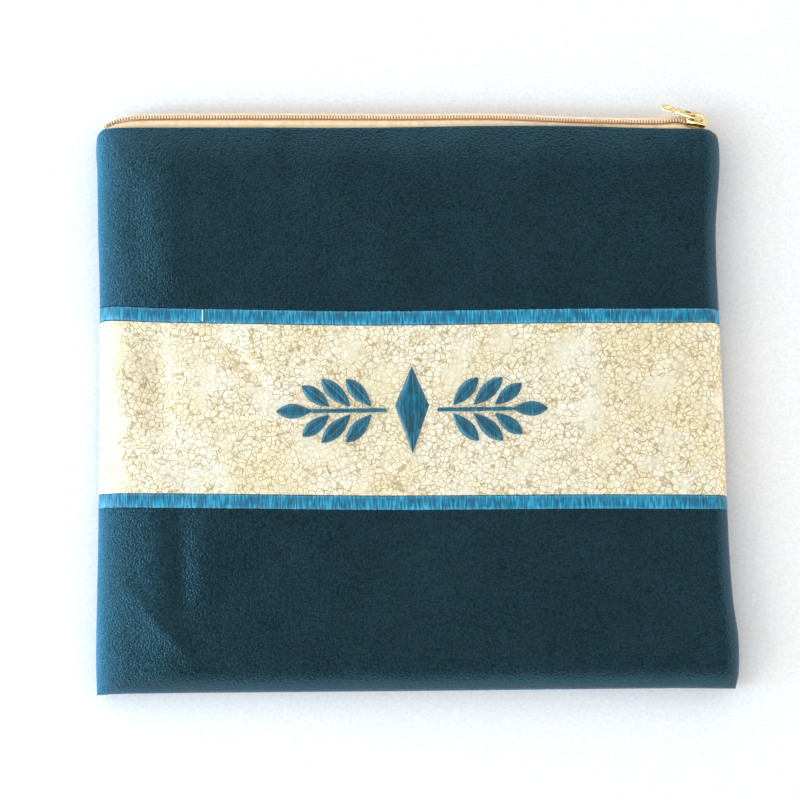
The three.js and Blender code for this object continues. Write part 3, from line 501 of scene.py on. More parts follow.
def new_object(name, bm, finish):
    """A smooth object in the scene from a bmesh, in a finish."""
    mesh = bpy.data.meshes.new(name)
    bm.to_mesh(mesh)
    bm.free()
    mesh.shade_smooth()
    mesh.materials.append(finish)
    made = bpy.data.objects.new(name, mesh)
    bpy.context.scene.collection.objects.link(made)
    return made


def make_piece(name, bm, slot, body="bag", finish=None):
    """The finished piece from a bmesh, riding on its body, in its slot's finish or its own."""
    piece = new_object(name, bm, finish or FINISHES[slot])
    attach(piece, body)
    return piece


def add_wall(piece, thickness):
    """Gives a laid surface its wall, inwards."""
    wall = piece.modifiers.new("wall", "SOLIDIFY")
    wall.thickness = thickness * MM
    wall.offset = -1


def round_edges(piece, width, angle):
    """Rounds the edges that are sharper than an angle."""
    rounding = piece.modifiers.new("edge", "BEVEL")
    rounding.width = width * MM
    rounding.segments = ROUNDING_SEGMENTS
    rounding.limit_method = "ANGLE"
    rounding.angle_limit = angle


def rgb(red, green, blue):
    """A colour from its three display values of 0 to 255."""
    levels = [v / 255 for v in (red, green, blue)]
    linear = [v / 12.92 if v <= 0.04045 else ((v + 0.055) / 1.055) ** 2.4 for v in levels]
    return (*linear, 1.0)


class Finish:
    """A material of one surface, with short ways to add and join its nodes."""

    def __init__(self, name, **surface):
        self.material = bpy.data.materials.new(name)
        self.material.use_nodes = True
        self.nodes = self.material.node_tree.nodes
        self.shader = self.nodes["Principled BSDF"]
        for socket, value in surface.items():
            self.shader.inputs[socket.replace("_", " ")].default_value = value
        self.place = self.add("ShaderNodeTexCoord").outputs["Object"]

    def add(self, kind, settings=None, **inputs):
        """A node with its settings, and its inputs set or joined."""
        node = self.nodes.new(kind)
        for key, value in (settings or {}).items():
            setattr(node, key, value)
        for key, value in inputs.items():
            self.join(value, node.inputs[key.replace("_", " ")])
        return node

    def join(self, value, socket):
        """Joins an output to a socket, or sets the socket to a plain value."""
        if isinstance(value, bpy.types.NodeSocket):
            self.material.node_tree.links.new(value, socket)
        else:
            socket.default_value = value

    def math(self, operation, first, second=0.0):
        """A sum, product or other operation on two values."""
        node = self.add("ShaderNodeMath", {"operation": operation})
        self.join(first, node.inputs[0])
        self.join(second, node.inputs[1])
        return node.outputs[0]

    def stretch(self, x, y, z, turn=0.0):
        """The place, stretched along its axes and turned about the vertical."""
        node = self.add("ShaderNodeMapping", Vector=self.place)
        node.inputs["Scale"].default_value = (x, y, z)
        node.inputs["Rotation"].default_value = (0, 0, turn)
        return node.outputs["Vector"]

    def noise(self, scale, detail=2.0, place=None, output="Fac"):
        """Random clouds, scale of them to the metre."""
        vector = place or self.place
        node = self.add("ShaderNodeTexNoise", Vector=vector, Scale=scale, Detail=detail)
        return node.outputs[output]

    def cells(self, scale, feature="F1", place=None, output="Distance"):
        """Random cells, scale of them to the metre."""
        settings = {"feature": feature}
        vector = place or self.place
        node = self.add("ShaderNodeTexVoronoi", settings, Vector=vector, Scale=scale)
        return node.outputs[output]

    def bend(self, scale, reach):
        """The place, pushed about by random clouds by up to reach in millimetres."""
        cloud = self.noise(scale, output="Color")
        node = self.add("ShaderNodeVectorMath", {"operation": "MULTIPLY_ADD"})
        self.join(cloud, node.inputs[0])
        node.inputs[1].default_value = (2 * reach * MM,) * 3
        self.join(self.place, node.inputs[2])
        return node.outputs["Vector"]

    def ramp(self, value, *stops):
        """Colours or greys at places between 0 and 1."""
        node = self.add("ShaderNodeValToRGB", Fac=value)
        elements = node.color_ramp.elements
        while len(elements) < len(stops):
            elements.new(0.5)
        for element, (at, colour) in zip(elements, stops):
            element.position = at
            element.color = colour if isinstance(colour, tuple) else (colour, colour, colour, 1)
        return node.outputs["Color"]

    def mix(self, share, first, second, blend="MIX"):
        """Two colours mixed or blended."""
        node = self.add("ShaderNodeMix", {"data_type": "RGBA", "blend_type": blend})
        self.join(share, node.inputs[0])
        self.join(first, node.inputs[6])
        self.join(second, node.inputs[7])
        return node.outputs[2]

    def bump(self, height, distance, strength=1.0, below=None):
        """A bump of a height in millimetres, over another one if given."""
        node = self.add("ShaderNodeBump", Height=height)
        node.inputs["Distance"].default_value = distance * MM
        node.inputs["Strength"].default_value = strength
        if below is not None:
            self.join(below, node.inputs["Normal"])
        return node.outputs["Normal"]

    def wear(self, **sockets):
        """Joins what was made to the shader's sockets and gives the material."""
        for socket, value in sockets.items():
            self.join(value, self.shader.inputs[socket.replace("_", " ")])
        return self.material


def leather_finish():
    """Dark leather with a fine pebble grain, a cool blue sheen at a slant and a painted blue
    highlight along its left edge.
    """
    f = Finish("leather", Sheen_Weight=1.0, Sheen_Roughness=0.22, Specular_IOR_Level=0.7)
    f.shader.inputs["Sheen Tint"].default_value = rgb(20, 150, 225)
    f.shader.inputs["Specular Tint"].default_value = rgb(110, 200, 240)
    bent = f.bend(1100, 0.25)
    pebbles = f.cells(980, "F1", bent)
    pits = f.noise(2100, 2.0)
    grain = f.math("SUBTRACT", f.math("MULTIPLY", pits, 0.5), pebbles)
    tone = f.ramp(f.noise(38, 3.0), (0.3, rgb(22, 35, 38)), (0.7, rgb(28, 44, 48)))
    groove = f.ramp(pebbles, (0.3, 1.2), (0.75, 0.65))
    colour = f.mix(1.0, tone, groove, "MULTIPLY")
    rough = f.ramp(f.noise(700, 2.0), (0.3, 0.22), (0.7, 0.33))
    across = f.add("ShaderNodeSeparateXYZ", Vector=f.place).outputs["X"]
    near_left = f.add("ShaderNodeMapRange", Value=across)
    near_left.inputs["From Min"].default_value = -0.5 * BAG_WIDTH * MM
    near_left.inputs["From Max"].default_value = (GRAIN_REACH - 0.5 * BAG_WIDTH) * MM
    near_left.inputs["To Min"].default_value = 1.0
    near_left.inputs["To Max"].default_value = 0.0
    near = near_left.outputs["Result"]
    # Painted highlight: light blue along the left edge, fading inwards, and on random flecks near it,
    # where light from the left would catch the leather.
    edge = f.math("MULTIPLY", f.math("POWER", near, EDGE_NARROW), PAINTED_EDGE_HIGHLIGHT)
    painted_glints = f.math("MULTIPLY", f.ramp(f.noise(1300, 1.0), (0.5, 0.0), (0.64, 1.0)), near)
    painted_highlight = f.math("ADD", edge, f.math("MULTIPLY", painted_glints, PAINTED_FLECK_HIGHLIGHT))
    colour = f.mix(painted_highlight, colour, rgb(50, 132, 166))
    relief = f.math("ADD", f.math("MULTIPLY", near, 1 - GRAIN_FLAT), GRAIN_FLAT)
    bump = f.bump(f.math("MULTIPLY", grain, relief), GRAIN_DEPTH)
    return f.wear(Base_Color=colour, Roughness=rough, Normal=bump)


def foil_finish():
    """Cream leather under a crackled pale gold foil."""
    f = Finish("foil", Metallic=0.3, Specular_IOR_Level=0.5)
    bent = f.bend(500, 0.5)
    big_edge = f.cells(350, "DISTANCE_TO_EDGE", bent)
    small_edge = f.cells(720, "DISTANCE_TO_EDGE", bent)
    patch = f.ramp(f.noise(150, 2.0), (0.48, 0.0), (0.62, 1.0))
    big_line = f.ramp(big_edge, (0.0, 1.0), (0.05, 0.75), (0.11, 0.0))
    small_line = f.ramp(small_edge, (0.0, 1.0), (0.06, 0.6), (0.14, 0.0))
    line = f.mix(patch, big_line, f.mix(1.0, big_line, small_line, "LIGHTEN"))
    worn = f.ramp(f.noise(60, 3.0), (0.34, 0.3), (0.5, 1.0))
    line = f.mix(1.0, line, worn, "MULTIPLY")
    cell = f.cells(350, "F1", bent, "Color")
    ground = f.ramp(cell, (0.2, rgb(249, 235, 198)), (0.7, rgb(255, 249, 226)))
    cloud = f.ramp(f.noise(38, 3.0), (0.35, rgb(246, 230, 188)), (0.62, rgb(255, 252, 238)))
    ground = f.mix(0.5, ground, cloud)
    gold = f.ramp(f.noise(420, 2.0), (0.35, rgb(206, 176, 114)), (0.65, rgb(156, 128, 74)))
    colour = f.mix(f.math("MULTIPLY", line, 0.85), ground, gold)
    rough = f.ramp(f.noise(500, 2.0), (0.3, 0.36), (0.7, 0.5))
    dent = f.math("ADD", f.math("MULTIPLY", line, -1.0), f.math("MULTIPLY", f.noise(900, 2.0), 0.3))
    return f.wear(Base_Color=colour, Roughness=rough, Normal=f.bump(dent, 0.16, 0.8))


def thread_finish(name, dark, middle, light):
    """Glossy teal embroidery thread."""
    f = Finish(name, Sheen_Weight=0.3, Sheen_Roughness=0.3, Specular_IOR_Level=0.55)
    f.shader.inputs["Sheen Tint"].default_value = rgb(90, 200, 235)
    streaks = f.noise(1.0, 1.0, f.stretch(1500, 150, 150))
    clouds = f.noise(160, 2.0)
    tone = f.math("ADD", f.math("MULTIPLY", streaks, 0.7), f.math("MULTIPLY", clouds, 0.3))
    colour = f.ramp(tone, (0.36, dark), (0.5, middle), (0.63, light))
    fibres = f.noise(1.0, 2.0, f.stretch(5200, 900, 900))
    return f.wear(Base_Color=colour, Roughness=0.36, Normal=f.bump(fibres, 0.05, 0.5))


def tape_finish():
    """Woven beige zip tape."""
    f = Finish("tape", Sheen_Weight=0.25, Specular_IOR_Level=0.3)
    warp = f.add("ShaderNodeTexWave", {"bands_direction": "Y"}, Vector=f.place, Scale=330.0)
    weft = f.add("ShaderNodeTexWave", {"bands_direction": "X"}, Vector=f.place, Scale=420.0)
    weave = f.math("MULTIPLY", warp.outputs["Fac"], weft.outputs["Fac"])
    colour = f.ramp(f.noise(300, 3.0), (0.3, rgb(240, 208, 162)), (0.7, rgb(254, 232, 196)))
    return f.wear(Base_Color=colour, Roughness=0.85, Normal=f.bump(weave, 0.12, 0.6))


def coil_finish():
    """Nylon of the zip's coil."""
    f = Finish("coil", Specular_IOR_Level=0.5)
    colour = f.ramp(f.noise(200, 2.0), (0.3, rgb(240, 212, 172)), (0.7, rgb(252, 232, 200)))
    rough = f.ramp(f.noise(800, 2.0), (0.3, 0.34), (0.7, 0.5))
    return f.wear(Base_Color=colour, Roughness=rough)


def gold_finish():
    """Pale gold plating."""
    f = Finish("gold", Metallic=1.0)
    colour = f.ramp(f.noise(120, 2.0), (0.3, rgb(226, 198, 140)), (0.7, rgb(240, 218, 170)))
    scratches = f.noise(1.0, 3.0, f.stretch(500, 4200, 4200, 0.3))
    rough = f.ramp(scratches, (0.3, 0.14), (0.7, 0.24))
    return f.wear(Base_Color=colour, Roughness=rough, Normal=f.bump(scratches, 0.02, 0.3))


def plain_finish(name, colour, roughness):
    """A thread or floor of one tone with a faint mottling."""
    f = Finish(name, Specular_IOR_Level=0.3)
    tone = f.ramp(f.noise(600, 2.0), (0.2, tuple(0.85 * c for c in colour[:3]) + (1,)), (0.8, colour))
    return f.wear(Base_Color=tone, Roughness=roughness)


LEATHER = "teal_leather"
FOIL = "foil_leather"
THREAD = "teal_thread"
TAPE = "zip_tape"
COIL = "zip_coil"
GOLD = "gold_metal"
FINISHES = {
    LEATHER: leather_finish(),
    FOIL: foil_finish(),
    THREAD: thread_finish("thread", rgb(2, 84, 114), rgb(4, 116, 148), rgb(48, 164, 200)),
    TAPE: tape_finish(),
    COIL: coil_finish(),
    GOLD: gold_finish(),
}

# Finishes of pieces that share a slot with others
# A darker copy of the thread finish: painted shade for the ornament's stitches, which catch less
# light than the borders'.
PAINTED_SHADE_THREAD = thread_finish("painted_shade_thread", rgb(0, 66, 84), rgb(2, 88, 110), rgb(16, 118, 146))
CORE = plain_finish("core", rgb(206, 150, 112), 0.7)
SEWING = plain_finish("sewing", rgb(206, 132, 100), 0.7)
STRAY = plain_finish("stray", rgb(245, 245, 240), 0.6)


def border_line(column):
    """The middle line of a border as shares up the bag."""
    return lambda u: read_table(BORDER_LINES, "across", u, column)


UPPER_LINE = border_line("upper")
LOWER_LINE = border_line("lower")
BORDER_SHARE = BORDER_WIDTH / PANEL_HEIGHT / 2
HALF_GAP = GAP / PANEL_HEIGHT / 2


def front_panel(name, low, high, reaches, slot):
    """A wall of the front, laid from one line across to another."""
    columns = crossings(BAG_WIDTH, LEFT_ROLL, RIGHT_ROLL, PANEL_STEP)
    height = float(high(0.5) - low(0.5)) * PANEL_HEIGHT
    rows = crossings(height, *reaches, PANEL_STEP)

    def points_at(u, t):
        v = low(u) + (high(u) - low(u)) * t
        return waved_front(u, v, (UPPER_LINE, LOWER_LINE))

    piece = make_piece(name, laid_grid(columns, rows, points_at), slot)
    add_wall(piece, WALL)
    round_edges(piece, WALL_ROUND, WALL_CORNER)
    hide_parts(f"front_{name}")
    return piece


def moved(line, by):
    """A line across the bag, moved up it by a share of its height."""
    return lambda u: line(u) + by


def build_front():
    """The three walls of the front."""
    edge = BORDER_SHARE + HALF_GAP
    upper = front_panel("upper_panel", moved(UPPER_LINE, edge), np.ones_like, (0, 0), LEATHER)
    foot = moved(LOWER_LINE, edge)
    band = front_panel("centre_band", foot, moved(UPPER_LINE, -edge), (0, 0), FOIL)
    top = moved(LOWER_LINE, -edge)
    lower = front_panel("lower_panel", np.zeros_like, top, (BOTTOM_ROLL, 0), LEATHER)
    return upper, band, lower


def build_back():
    """The plain back."""
    columns = crossings(BAG_WIDTH, BACK_ROLL, BACK_ROLL, BACK_STEP, BACK_ROUND_STEPS)
    rows = crossings(PANEL_HEIGHT, BACK_ROLL, 0, BACK_STEP, BACK_ROUND_STEPS)
    bm = laid_grid(columns, rows, back_points)
    bmesh.ops.reverse_faces(bm, faces=bm.faces)
    piece = make_piece("back", bm, LEATHER)
    add_wall(piece, WALL)
    round_edges(piece, WALL_ROUND, WALL_CORNER)
    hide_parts("back_panel")
    return piece


def run_of(points):
    """Lengths along a row of points, from its first one."""
    steps = np.linalg.norm(np.diff(points, axis=0), axis=1)
    return np.concatenate([[0], np.cumsum(steps)])


def thread_ridge(phase):
    """Height of a row of threads, 0 in a groove and 1 on a thread, phase counting threads."""
    return np.sqrt(np.abs(np.sin(np.pi * phase)))


def satin_border(name, v_line):
    """A raised border of short stitches laid side by side across the bag."""
    fine = np.linspace(0, 1, LINE_SAMPLES)
    run = run_of(front_points(fine, v_line(fine))[1])
    threads = round(run[-1] / THREAD_PITCH)
    columns = np.interp(np.linspace(0, run[-1], threads * THREAD_STEPS + 1), run, fine)
    rng = np.random.default_rng(len(name))
    ends = rng.normal(0, EDGE_JITTER, (2, threads + 1))
    heights = rng.normal(0, HEIGHT_JITTER, threads + 1)

    def points_at(u, t):
        phase = np.interp(u, columns, np.arange(len(columns)) / THREAD_STEPS)
        thread = np.clip(phase.astype(int), 0, threads)
        ridge = thread_ridge(phase)
        low = v_line(u) - BORDER_SHARE + ends[0][thread] * ridge / PANEL_HEIGHT
        high = v_line(u) + BORDER_SHARE + ends[1][thread] * ridge / PANEL_HEIGHT
        crown = 1 - np.abs(2 * t - 1) ** BORDER_CROWN
        lift = (BORDER_LIFT + EDGE_SINK + heights[thread]) * crown - EDGE_SINK
        lift = lift + THREAD_RISE * ridge * crown
        v = low + (high - low) * t
        base = front_points(u, v)[1]
        waved = waved_front(u, v, (v_line,))
        return waved + (front_points(u, v, lift)[1] - base)

    piece = make_piece(name, laid_grid(columns, np.array(BORDER_ROWS), points_at), THREAD)
    add_wall(piece, STITCH_WALL)
    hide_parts(f"front_{name}")


def satin_shape(name, start, end, half_at, slant, vein):
    """A run of satin stitches on the band, its half width from a function of the share along."""
    length = np.linalg.norm(end - start)
    along = (end - start) / length
    aside = np.array([-along[1], along[0]])
    threads = round(length / THREAD_PITCH)
    rows = np.linspace(0, 1, threads * THREAD_STEPS + 1)
    columns = np.linspace(0, 1, ORNAMENT_COLUMNS + 1)
    rng = np.random.default_rng(len(name) + int(abs(start[0])))
    jitter = rng.normal(0, ORNAMENT_JITTER, threads + 1)

    def points_at(across, share):
        a = 2 * across - 1
        thread = np.clip((share * threads).astype(int), 0, threads)
        ridge = thread_ridge(share * threads)
        half = half_at(share) + jitter[thread] * ridge
        place = share * length + slant * (np.abs(a) - 0.5) * half
        spot = start + along * place[:, None] + aside * (a * half)[:, None]
        base = waved_front(*locate(spot[:, 0], spot[:, 1]), ())
        height = np.minimum(ORNAMENT_RISE, THREAD_HEIGHT + half * THREAD_SLOPE)
        groove = vein * np.exp(-((a / VEIN_HALF) ** 2))
        crown = (1 - np.abs(a) ** ORNAMENT_CROWN) * (1 - groove)
        lift = (GAP + height) * crown + THREAD_RISE * ridge * np.sqrt(1 - a * a)
        base[:, 2] += lift - EDGE_SINK / 2
        return base

    piece = make_piece(name, laid_grid(columns, rows, points_at), THREAD, finish=PAINTED_SHADE_THREAD)
    turn_up(piece)
    add_wall(piece, STITCH_WALL / 2)
    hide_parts(f"ornament_{name}")


def turn_up(piece):
    """Turns an open surface's faces upwards."""
    if sum(face.normal.z for face in piece.data.polygons) < 0:
        piece.data.flip_normals()


def lozenge_half(share):
    """Half width of the lozenge at shares of the way up it."""
    return TIP_HALF + LOZENGE_HALF * (1 - np.abs(2 * share - 1))


def stem_half(share):
    """Half width of a stem, the same all along it."""
    return np.full_like(share, STEM_WIDTH / 2)


def leaf_half(width):
    """The half width along a leaf, as a function, from its share of the ornament's height."""
    half = ORNAMENT_HEIGHT * width / 2
    return lambda share: TIP_HALF + half * np.sin(np.pi * share) ** LEAF_FULLNESS


def build_sprig(side_name, hand, middle):
    """A stem with its leaves, to the left (hand -1) or right (1)."""
    stem_end = ORNAMENT_LENGTH / 2 - ORNAMENT_LENGTH * LEAVES[-1]["length"]

    def on_stem(share):
        """The point at a share of the way along the stem."""
        return np.array([hand * (STEM_START + (stem_end - STEM_START) * share), middle])

    satin_shape(f"stem_{side_name}", on_stem(0), on_stem(1), stem_half, **STEM_LOOK)
    for i, leaf in enumerate(LEAVES, 1):
        lean = math.radians(leaf["lean"]) * leaf["side"]
        heading = np.array([hand * math.cos(lean), math.sin(lean)])
        clear = GAP
        if leaf["side"]:
            clear = (STEM_WIDTH / 2 + GAP + LEAF_GAP) / math.sin(abs(lean))
        base = on_stem(leaf["along"]) + heading * clear
        tip = base + heading * ORNAMENT_LENGTH * leaf["length"]
        satin_shape(f"leaf_{side_name}_{i}", base, tip, leaf_half(leaf["width"]), **LEAF_LOOK)


def build_ornament():
    """A stitched lozenge between two leafy sprigs."""
    middle = PANEL_HEIGHT * (BORDER_LINES[2]["upper"] + BORDER_LINES[2]["lower"]) / 2
    low = np.array([0, middle - ORNAMENT_HEIGHT / 2])
    high = np.array([0, middle + ORNAMENT_HEIGHT / 2])
    satin_shape("lozenge", low, high, lozenge_half, **LOZENGE_LOOK)
    build_sprig("left", -1, middle)
    build_sprig("right", 1, middle)


def zip_route():
    """The rows of the zip's route, with those that keep it straight through the slider."""
    on_slider = []
    for share in SLIDER_STATIONS:
        along = share * SLIDER_LENGTH
        x = BAG_WIDTH / 2 - SLIDER_INSET + along * math.cos(SLIDER_TURN)
        row = dict(SLIDER_ROUTE, across=x / BAG_WIDTH + 0.5)
        row["out"] -= along * math.sin(SLIDER_TURN) / ZIP_REACH
        on_slider.append(row)
    return [*ROUTE_START, *on_slider, *ROUTE_END]


ROUTE = zip_route()


def zip_matrix(x):
    """Frame of the zip at a place across: X along it, Y across its width, Z out of its face."""
    def y_at(place):
        """How far up the bag the zip is at a share across."""
        return PANEL_HEIGHT + ZIP_REACH * float(read_table(ROUTE, "across", place, "out"))

    across = x / BAG_WIDTH + 0.5
    step = 0.001
    slope = (y_at(across + step) - y_at(across - step)) / (2 * step * BAG_WIDTH)
    along = Vector((1, slope, 0)).normalized()
    outward = Vector((-along.y, along.x, 0))
    tilt = math.radians(float(read_table(ROUTE, "across", across, "tilt")))
    up = Vector((0, 0, 1))
    width = up * math.cos(tilt) - outward * math.sin(tilt)
    face = outward * math.cos(tilt) + up * math.sin(tilt)
    height = ZIP_HEIGHT * float(read_table(ROUTE, "across", across, "height"))
    origin = Vector((x, y_at(across), height)) + Vector(SHIFT)
    turned = Matrix((along, -width, face)).transposed().to_4x4()
    return Matrix.Translation(origin * MM) @ turned


def zip_stations(start, end, pitch):
    """Frames at equal lengths of the zip."""
    fine = np.linspace(start, end, ZIP_SAMPLES)
    points = np.array([zip_matrix(x).translation for x in fine]) / MM
    run = run_of(points)
    places = np.interp(np.arange(0, run[-1], pitch), run, fine)
    return [zip_matrix(x) for x in places]


def joined_copies(unit, matrices):
    """One mesh of a small shape repeated at every matrix."""
    source = bpy.data.meshes.new("unit")
    unit.to_mesh(source)
    unit.free()
    bm = bmesh.new()
    for matrix in matrices:
        first = len(bm.verts)
        bm.from_mesh(source)
        bm.verts.ensure_lookup_table()
        bmesh.ops.transform(bm, matrix=matrix, verts=bm.verts[first:])
    bpy.data.meshes.remove(source)
    return bm


def coil_loop():
    """One closed loop of the coil's wire, its head at +Y."""
    bm = bmesh.new()
    made = bmesh.ops.create_circle(bm, segments=WIRE_SIDES, radius=WIRE_HALF * MM)
    bmesh.ops.translate(bm, verts=made["verts"], vec=Vector((0, LOOP_HALF, 0)) * MM)
    bmesh.ops.spin(
        bm,
        geom=bm.verts[:] + bm.edges[:],
        axis=(1, 0, 0),
        cent=(0, 0, 0),
        angle=2 * math.pi,
        steps=LOOP_STEPS,
        use_merge=True,
    )
    bmesh.ops.remove_doubles(bm, verts=bm.verts, dist=MERGE * MM)
    tail = [vert for vert in bm.verts if vert.co.y < -MERGE * MM]
    bmesh.ops.translate(bm, verts=tail, vec=Vector((0, -LOOP_STRETCH, 0)) * MM)
    bmesh.ops.recalc_face_normals(bm, faces=bm.faces)
    return bm


def build_coil():
    """Both rows of the zip's coil, with the cords that run through them."""
    slider_x = BAG_WIDTH / 2 - SLIDER_INSET
    start = -BAG_WIDTH / 2 + CHAIN_START
    frames = zip_stations(start, slider_x, COIL_PITCH / 2)
    lift = Matrix.Translation(Vector((0, 0, CHAIN_THICKNESS / 2)) * MM)
    turned = Matrix.Rotation(math.pi, 4, "Z")
    slanted = Matrix.Rotation(LOOP_SLANT, 4, "Z")
    matrices = [f @ lift @ slanted @ (turned if i % 2 else Matrix()) for i, f in enumerate(frames)]
    piece = make_piece("coil", joined_copies(coil_loop(), matrices), COIL)
    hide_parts("zip_chain")
    stitch_frames = zip_stations(start, slider_x, COIL_PITCH)
    for side_name, side in (("front", 1), ("back", -1)):
        off = Vector((0, -side * CORE_ASIDE, CHAIN_THICKNESS / 2)) * MM
        core = swept(frames[::CORE_EVERY], off, CORE_HALF, CORD_SIDES)
        make_piece(f"coil_cord_{side_name}", core, COIL, finish=CORE)
        build_sewing(side_name, side, stitch_frames)


def build_sewing(side_name, side, frames):
    """A line of stitches beside the coil."""
    bm = bmesh.new()
    size = {"u_segments": STITCH_SIDES, "v_segments": STITCH_RINGS, "radius": STITCH_HALF * MM}
    bmesh.ops.create_uvsphere(bm, **size)
    stretch = STITCH_LENGTH / 2 / STITCH_HALF
    bmesh.ops.scale(bm, vec=(stretch, 1, 1), verts=bm.verts)
    off = Matrix.Translation(Vector((0, -side * STITCH_OFF, 0)) * MM)
    stitches = joined_copies(bm, [f @ off for f in frames])
    make_piece(f"sewing_{side_name}", stitches, TAPE, finish=SEWING)


def swept(frames, off, half, sides):
    """A round cord through frames, at an offset from each: a grid rolled into a tube."""
    bm = bmesh.new()
    last = len(frames) - 1
    bmesh.ops.create_grid(bm, x_segments=sides, y_segments=last, size=0.5)
    for vert in bm.verts:
        turn = (vert.co.x + 0.5) * 2 * math.pi
        matrix = frames[round((vert.co.y + 0.5) * last)]
        vert.co = matrix @ (off + Vector((0, math.cos(turn), math.sin(turn))) * half * MM)
    bmesh.ops.remove_doubles(bm, verts=bm.verts, dist=MERGE * MM)
    bmesh.ops.holes_fill(bm, edges=bm.edges, sides=sides)
    bmesh.ops.recalc_face_normals(bm, faces=bm.faces)
    return bm


def dressed_copy(node):
    """A copy of a solid's mesh, with the corners of its triangles merged."""
    bm = bmesh.new()
    bm.from_mesh(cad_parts[node].data)
    bmesh.ops.remove_doubles(bm, verts=bm.verts, dist=MERGE * MM)
    return bm


def build_tapes():
    """The two zip tapes, softened copies of their solids."""
    pieces = []
    for side in ("front", "back"):
        bm = dressed_copy(f"zip_tape_{side}")
        bmesh.ops.join_triangles(
            bm,
            faces=bm.faces,
            angle_face_threshold=TAPE_FLAT,
            angle_shape_threshold=TAPE_SQUARE,
        )
        piece = make_piece(f"tape_{side}", bm, TAPE)
        soft = piece.modifiers.new("soft", "SUBSURF")
        soft.levels = soft.render_levels = TAPE_SMOOTH
        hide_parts(f"zip_tape_{side}")
        pieces.append(piece)
    return pieces


def build_slider():
    """The slider and its puller, copies of their solids with rounded edges."""
    for name, node, body in (("slider", "zip_slider", "bag"), ("puller", "zip_puller", "puller")):
        bm = dressed_copy(node)
        bmesh.ops.dissolve_limit(bm, angle_limit=FLAT_ANGLE, verts=bm.verts, edges=bm.edges)
        piece = make_piece(name, bm, GOLD, body)
        round_edges(piece, METAL_ROUND, METAL_CORNER)
        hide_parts(node)


def build_tape_end():
    """The end of the front tape, which shows round the corner beyond the slider."""
    corner = mouth(1.0)

    def points_at(u, t):
        along = mouth(1 - TAPE_END_ALONG * (1 - np.clip(2 * u, 0, 1)))
        down = side_seam(1 - TAPE_END_DOWN * np.clip(2 * u - 1, 0, 1), 1)
        x = along[0] + down[0] - corner[0]
        y = along[1] + down[1] - corner[1]
        turn = np.radians(TAPE_END_HEADING + TAPE_END_TURN * u)
        full = np.sqrt(np.sin(np.pi * (TAPE_END_THIN + (1 - TAPE_END_THIN) * u)))
        reach = GAP + TAPE_END_WALL * full
        z = SEAM_HEIGHT + GAP + TAPE_END_WIDTH * t * (1 - TAPE_END_TAPER * u)
        return np.stack([x + np.sin(turn) * reach, y + np.cos(turn) * reach, z], axis=-1)

    columns = np.linspace(0, 1, TAPE_END_COLUMNS + 1)
    bm = laid_grid(columns, np.linspace(0, 1, TAPE_ROWS + 1), points_at)
    bmesh.ops.recalc_face_normals(bm, faces=bm.faces)
    piece = make_piece("tape_end", bm, TAPE)
    add_wall(piece, TAPE_END_WALL)
    return piece


def build_tape_start():
    """The tape that closes the mouth between the left seam and the start of the coil."""

    def points_at(u, t):
        across = START_LOW + (START_HIGH - START_LOW) * u
        v = np.full_like(across, 1 - START_INSET / PANEL_HEIGHT)
        top = front_points(across, v, -WALL)[1]
        low = back_points(across, v)
        low[:, 2] += WALL
        top[:, 2] = np.maximum(top[:, 2], low[:, 2] + GAP)
        return low + (top - low) * t[:, None]

    columns = np.linspace(0, 1, START_COLUMNS + 1)
    bm = laid_grid(columns, np.linspace(0, 1, TAPE_ROWS + 1), points_at)
    piece = make_piece("tape_start", bm, TAPE)
    add_wall(piece, TAPE_END_WALL)
    return piece


def build_stray_thread():
    """A stray white thread that lies across the upper border."""
    shares = np.linspace(-1, 1, STRAY_POINTS)
    u = np.full_like(shares, STRAY_ACROSS)
    v = UPPER_LINE(u) + shares * STRAY_LENGTH / 2 / PANEL_HEIGHT
    height = BORDER_LIFT + THREAD_RISE + STRAY_HALF
    lift = height * (1 - STRAY_DROP * shares**STRAY_BEND)
    points = (front_points(u, v, lift)[1] + SHIFT) * MM
    turned = Matrix.Rotation(math.pi / 2, 4, "Z")
    frames = [Matrix.Translation(point) @ turned for point in points]
    thread = swept(frames, Vector(), STRAY_HALF, STRAY_SIDES)
    make_piece("stray_thread", thread, THREAD, finish=STRAY)


def build_floor():
    """A plain pale floor."""
    bm = bmesh.new()
    bmesh.ops.create_grid(bm, x_segments=1, y_segments=1, size=FLOOR_HALF)
    bmesh.ops.translate(bm, verts=bm.verts, vec=(0, 0, -FLOOR_DROP))
    new_object("floor", bm, plain_finish("floor", FLOOR_COLOUR, 0.8))


def area_light(name, place, size, power, colour=(1, 1, 1)):
    """A soft square light that faces the bag."""
    data = bpy.data.lights.new(name, "AREA")
    data.shape = "SQUARE"
    data.size = size
    data.energy = power
    data.color = colour
    light = bpy.data.objects.new(name, data)
    light.location = place
    light.rotation_mode = "QUATERNION"
    light.rotation_quaternion = (-Vector(place)).to_track_quat("-Z", "Y")
    bpy.context.scene.collection.objects.link(light)


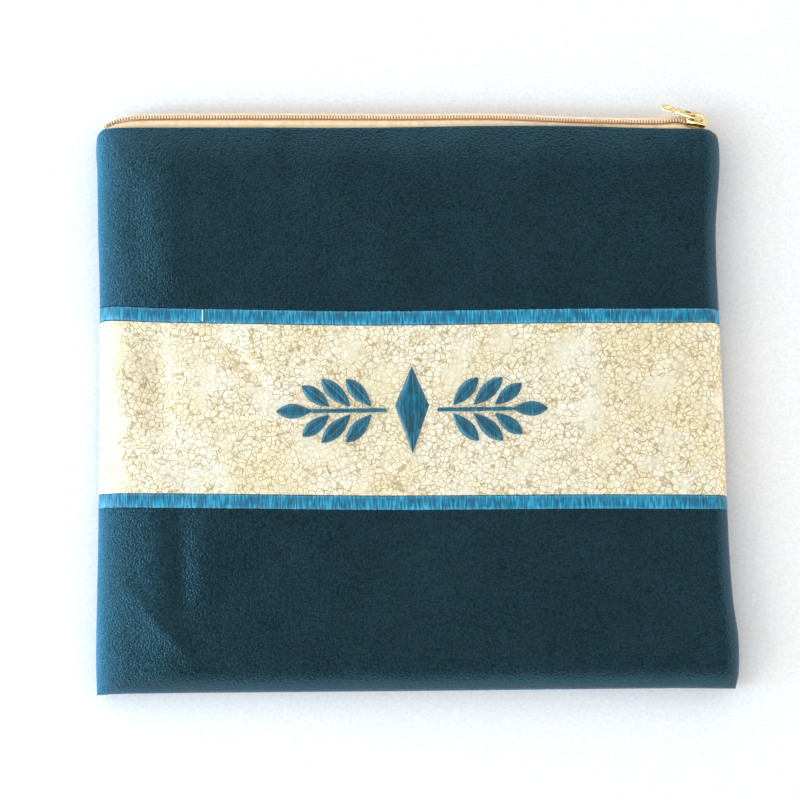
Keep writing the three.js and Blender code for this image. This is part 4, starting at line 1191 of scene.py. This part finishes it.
def build_studio():
    """Soft light from low all round, more of it from the left, and a dim ceiling."""
    scene = bpy.context.scene
    scene.view_settings.view_transform = "Standard"
    world = bpy.data.worlds.new("studio")
    scene.world = world
    world.use_nodes = True
    nodes = world.node_tree.nodes
    links = world.node_tree.links
    place = nodes.new("ShaderNodeTexCoord")
    axes = nodes.new("ShaderNodeSeparateXYZ")
    ramp = nodes.new("ShaderNodeValToRGB")
    links.new(place.outputs["Generated"], axes.inputs[0])
    links.new(axes.outputs["Z"], ramp.inputs[0])
    sides = nodes.new("ShaderNodeMapRange")
    links.new(axes.outputs["X"], sides.inputs["Value"])
    sides.inputs["From Min"].default_value = -1
    sides.inputs["To Min"].default_value = WORLD_STRENGTH * WORLD_LEFT
    sides.inputs["To Max"].default_value = WORLD_STRENGTH * WORLD_RIGHT
    links.new(ramp.outputs["Color"], nodes["Background"].inputs["Color"])
    links.new(sides.outputs["Result"], nodes["Background"].inputs["Strength"])
    stops = ((WORLD_EDGE, WORLD_LOW), (WORLD_TOP, WORLD_HIGH))
    for element, (at, colour) in zip(ramp.color_ramp.elements, stops):
        element.position = at
        element.color = (*colour, 1)
    area_light("key", KEY_PLACE, KEY_SIZE, KEY_POWER)
    area_light("window", WINDOW_PLACE, WINDOW_SIZE, WINDOW_POWER, WINDOW_COLOUR)


def build_camera():
    """The camera, at the photo's angle."""
    data = bpy.data.cameras.new("camera")
    data.lens = CAMERA_LENS
    data.sensor_width = SENSOR
    data.clip_start = CLIP_START
    camera = bpy.data.objects.new("camera", data)
    back = Vector((0, -math.sin(CAMERA_TILT), math.cos(CAMERA_TILT)))
    camera.location = TARGET + back * CAMERA_DISTANCE
    turn = Matrix.Rotation(CAMERA_TILT, 4, "X") @ Matrix.Rotation(CAMERA_ROLL, 4, "Z")
    camera.rotation_mode = "QUATERNION"
    camera.rotation_quaternion = turn.to_quaternion()
    bpy.context.scene.collection.objects.link(camera)
    bpy.context.scene.camera = camera


build_camera()
build_studio()
build_floor()
upper, band, lower = build_front()
back = build_back()
satin_border("upper_border", UPPER_LINE)
satin_border("lower_border", LOWER_LINE)
build_ornament()
build_coil()
tape_front, tape_back = build_tapes()
build_slider()
tape_end = build_tape_end()
tape_start = build_tape_start()
build_stray_thread()
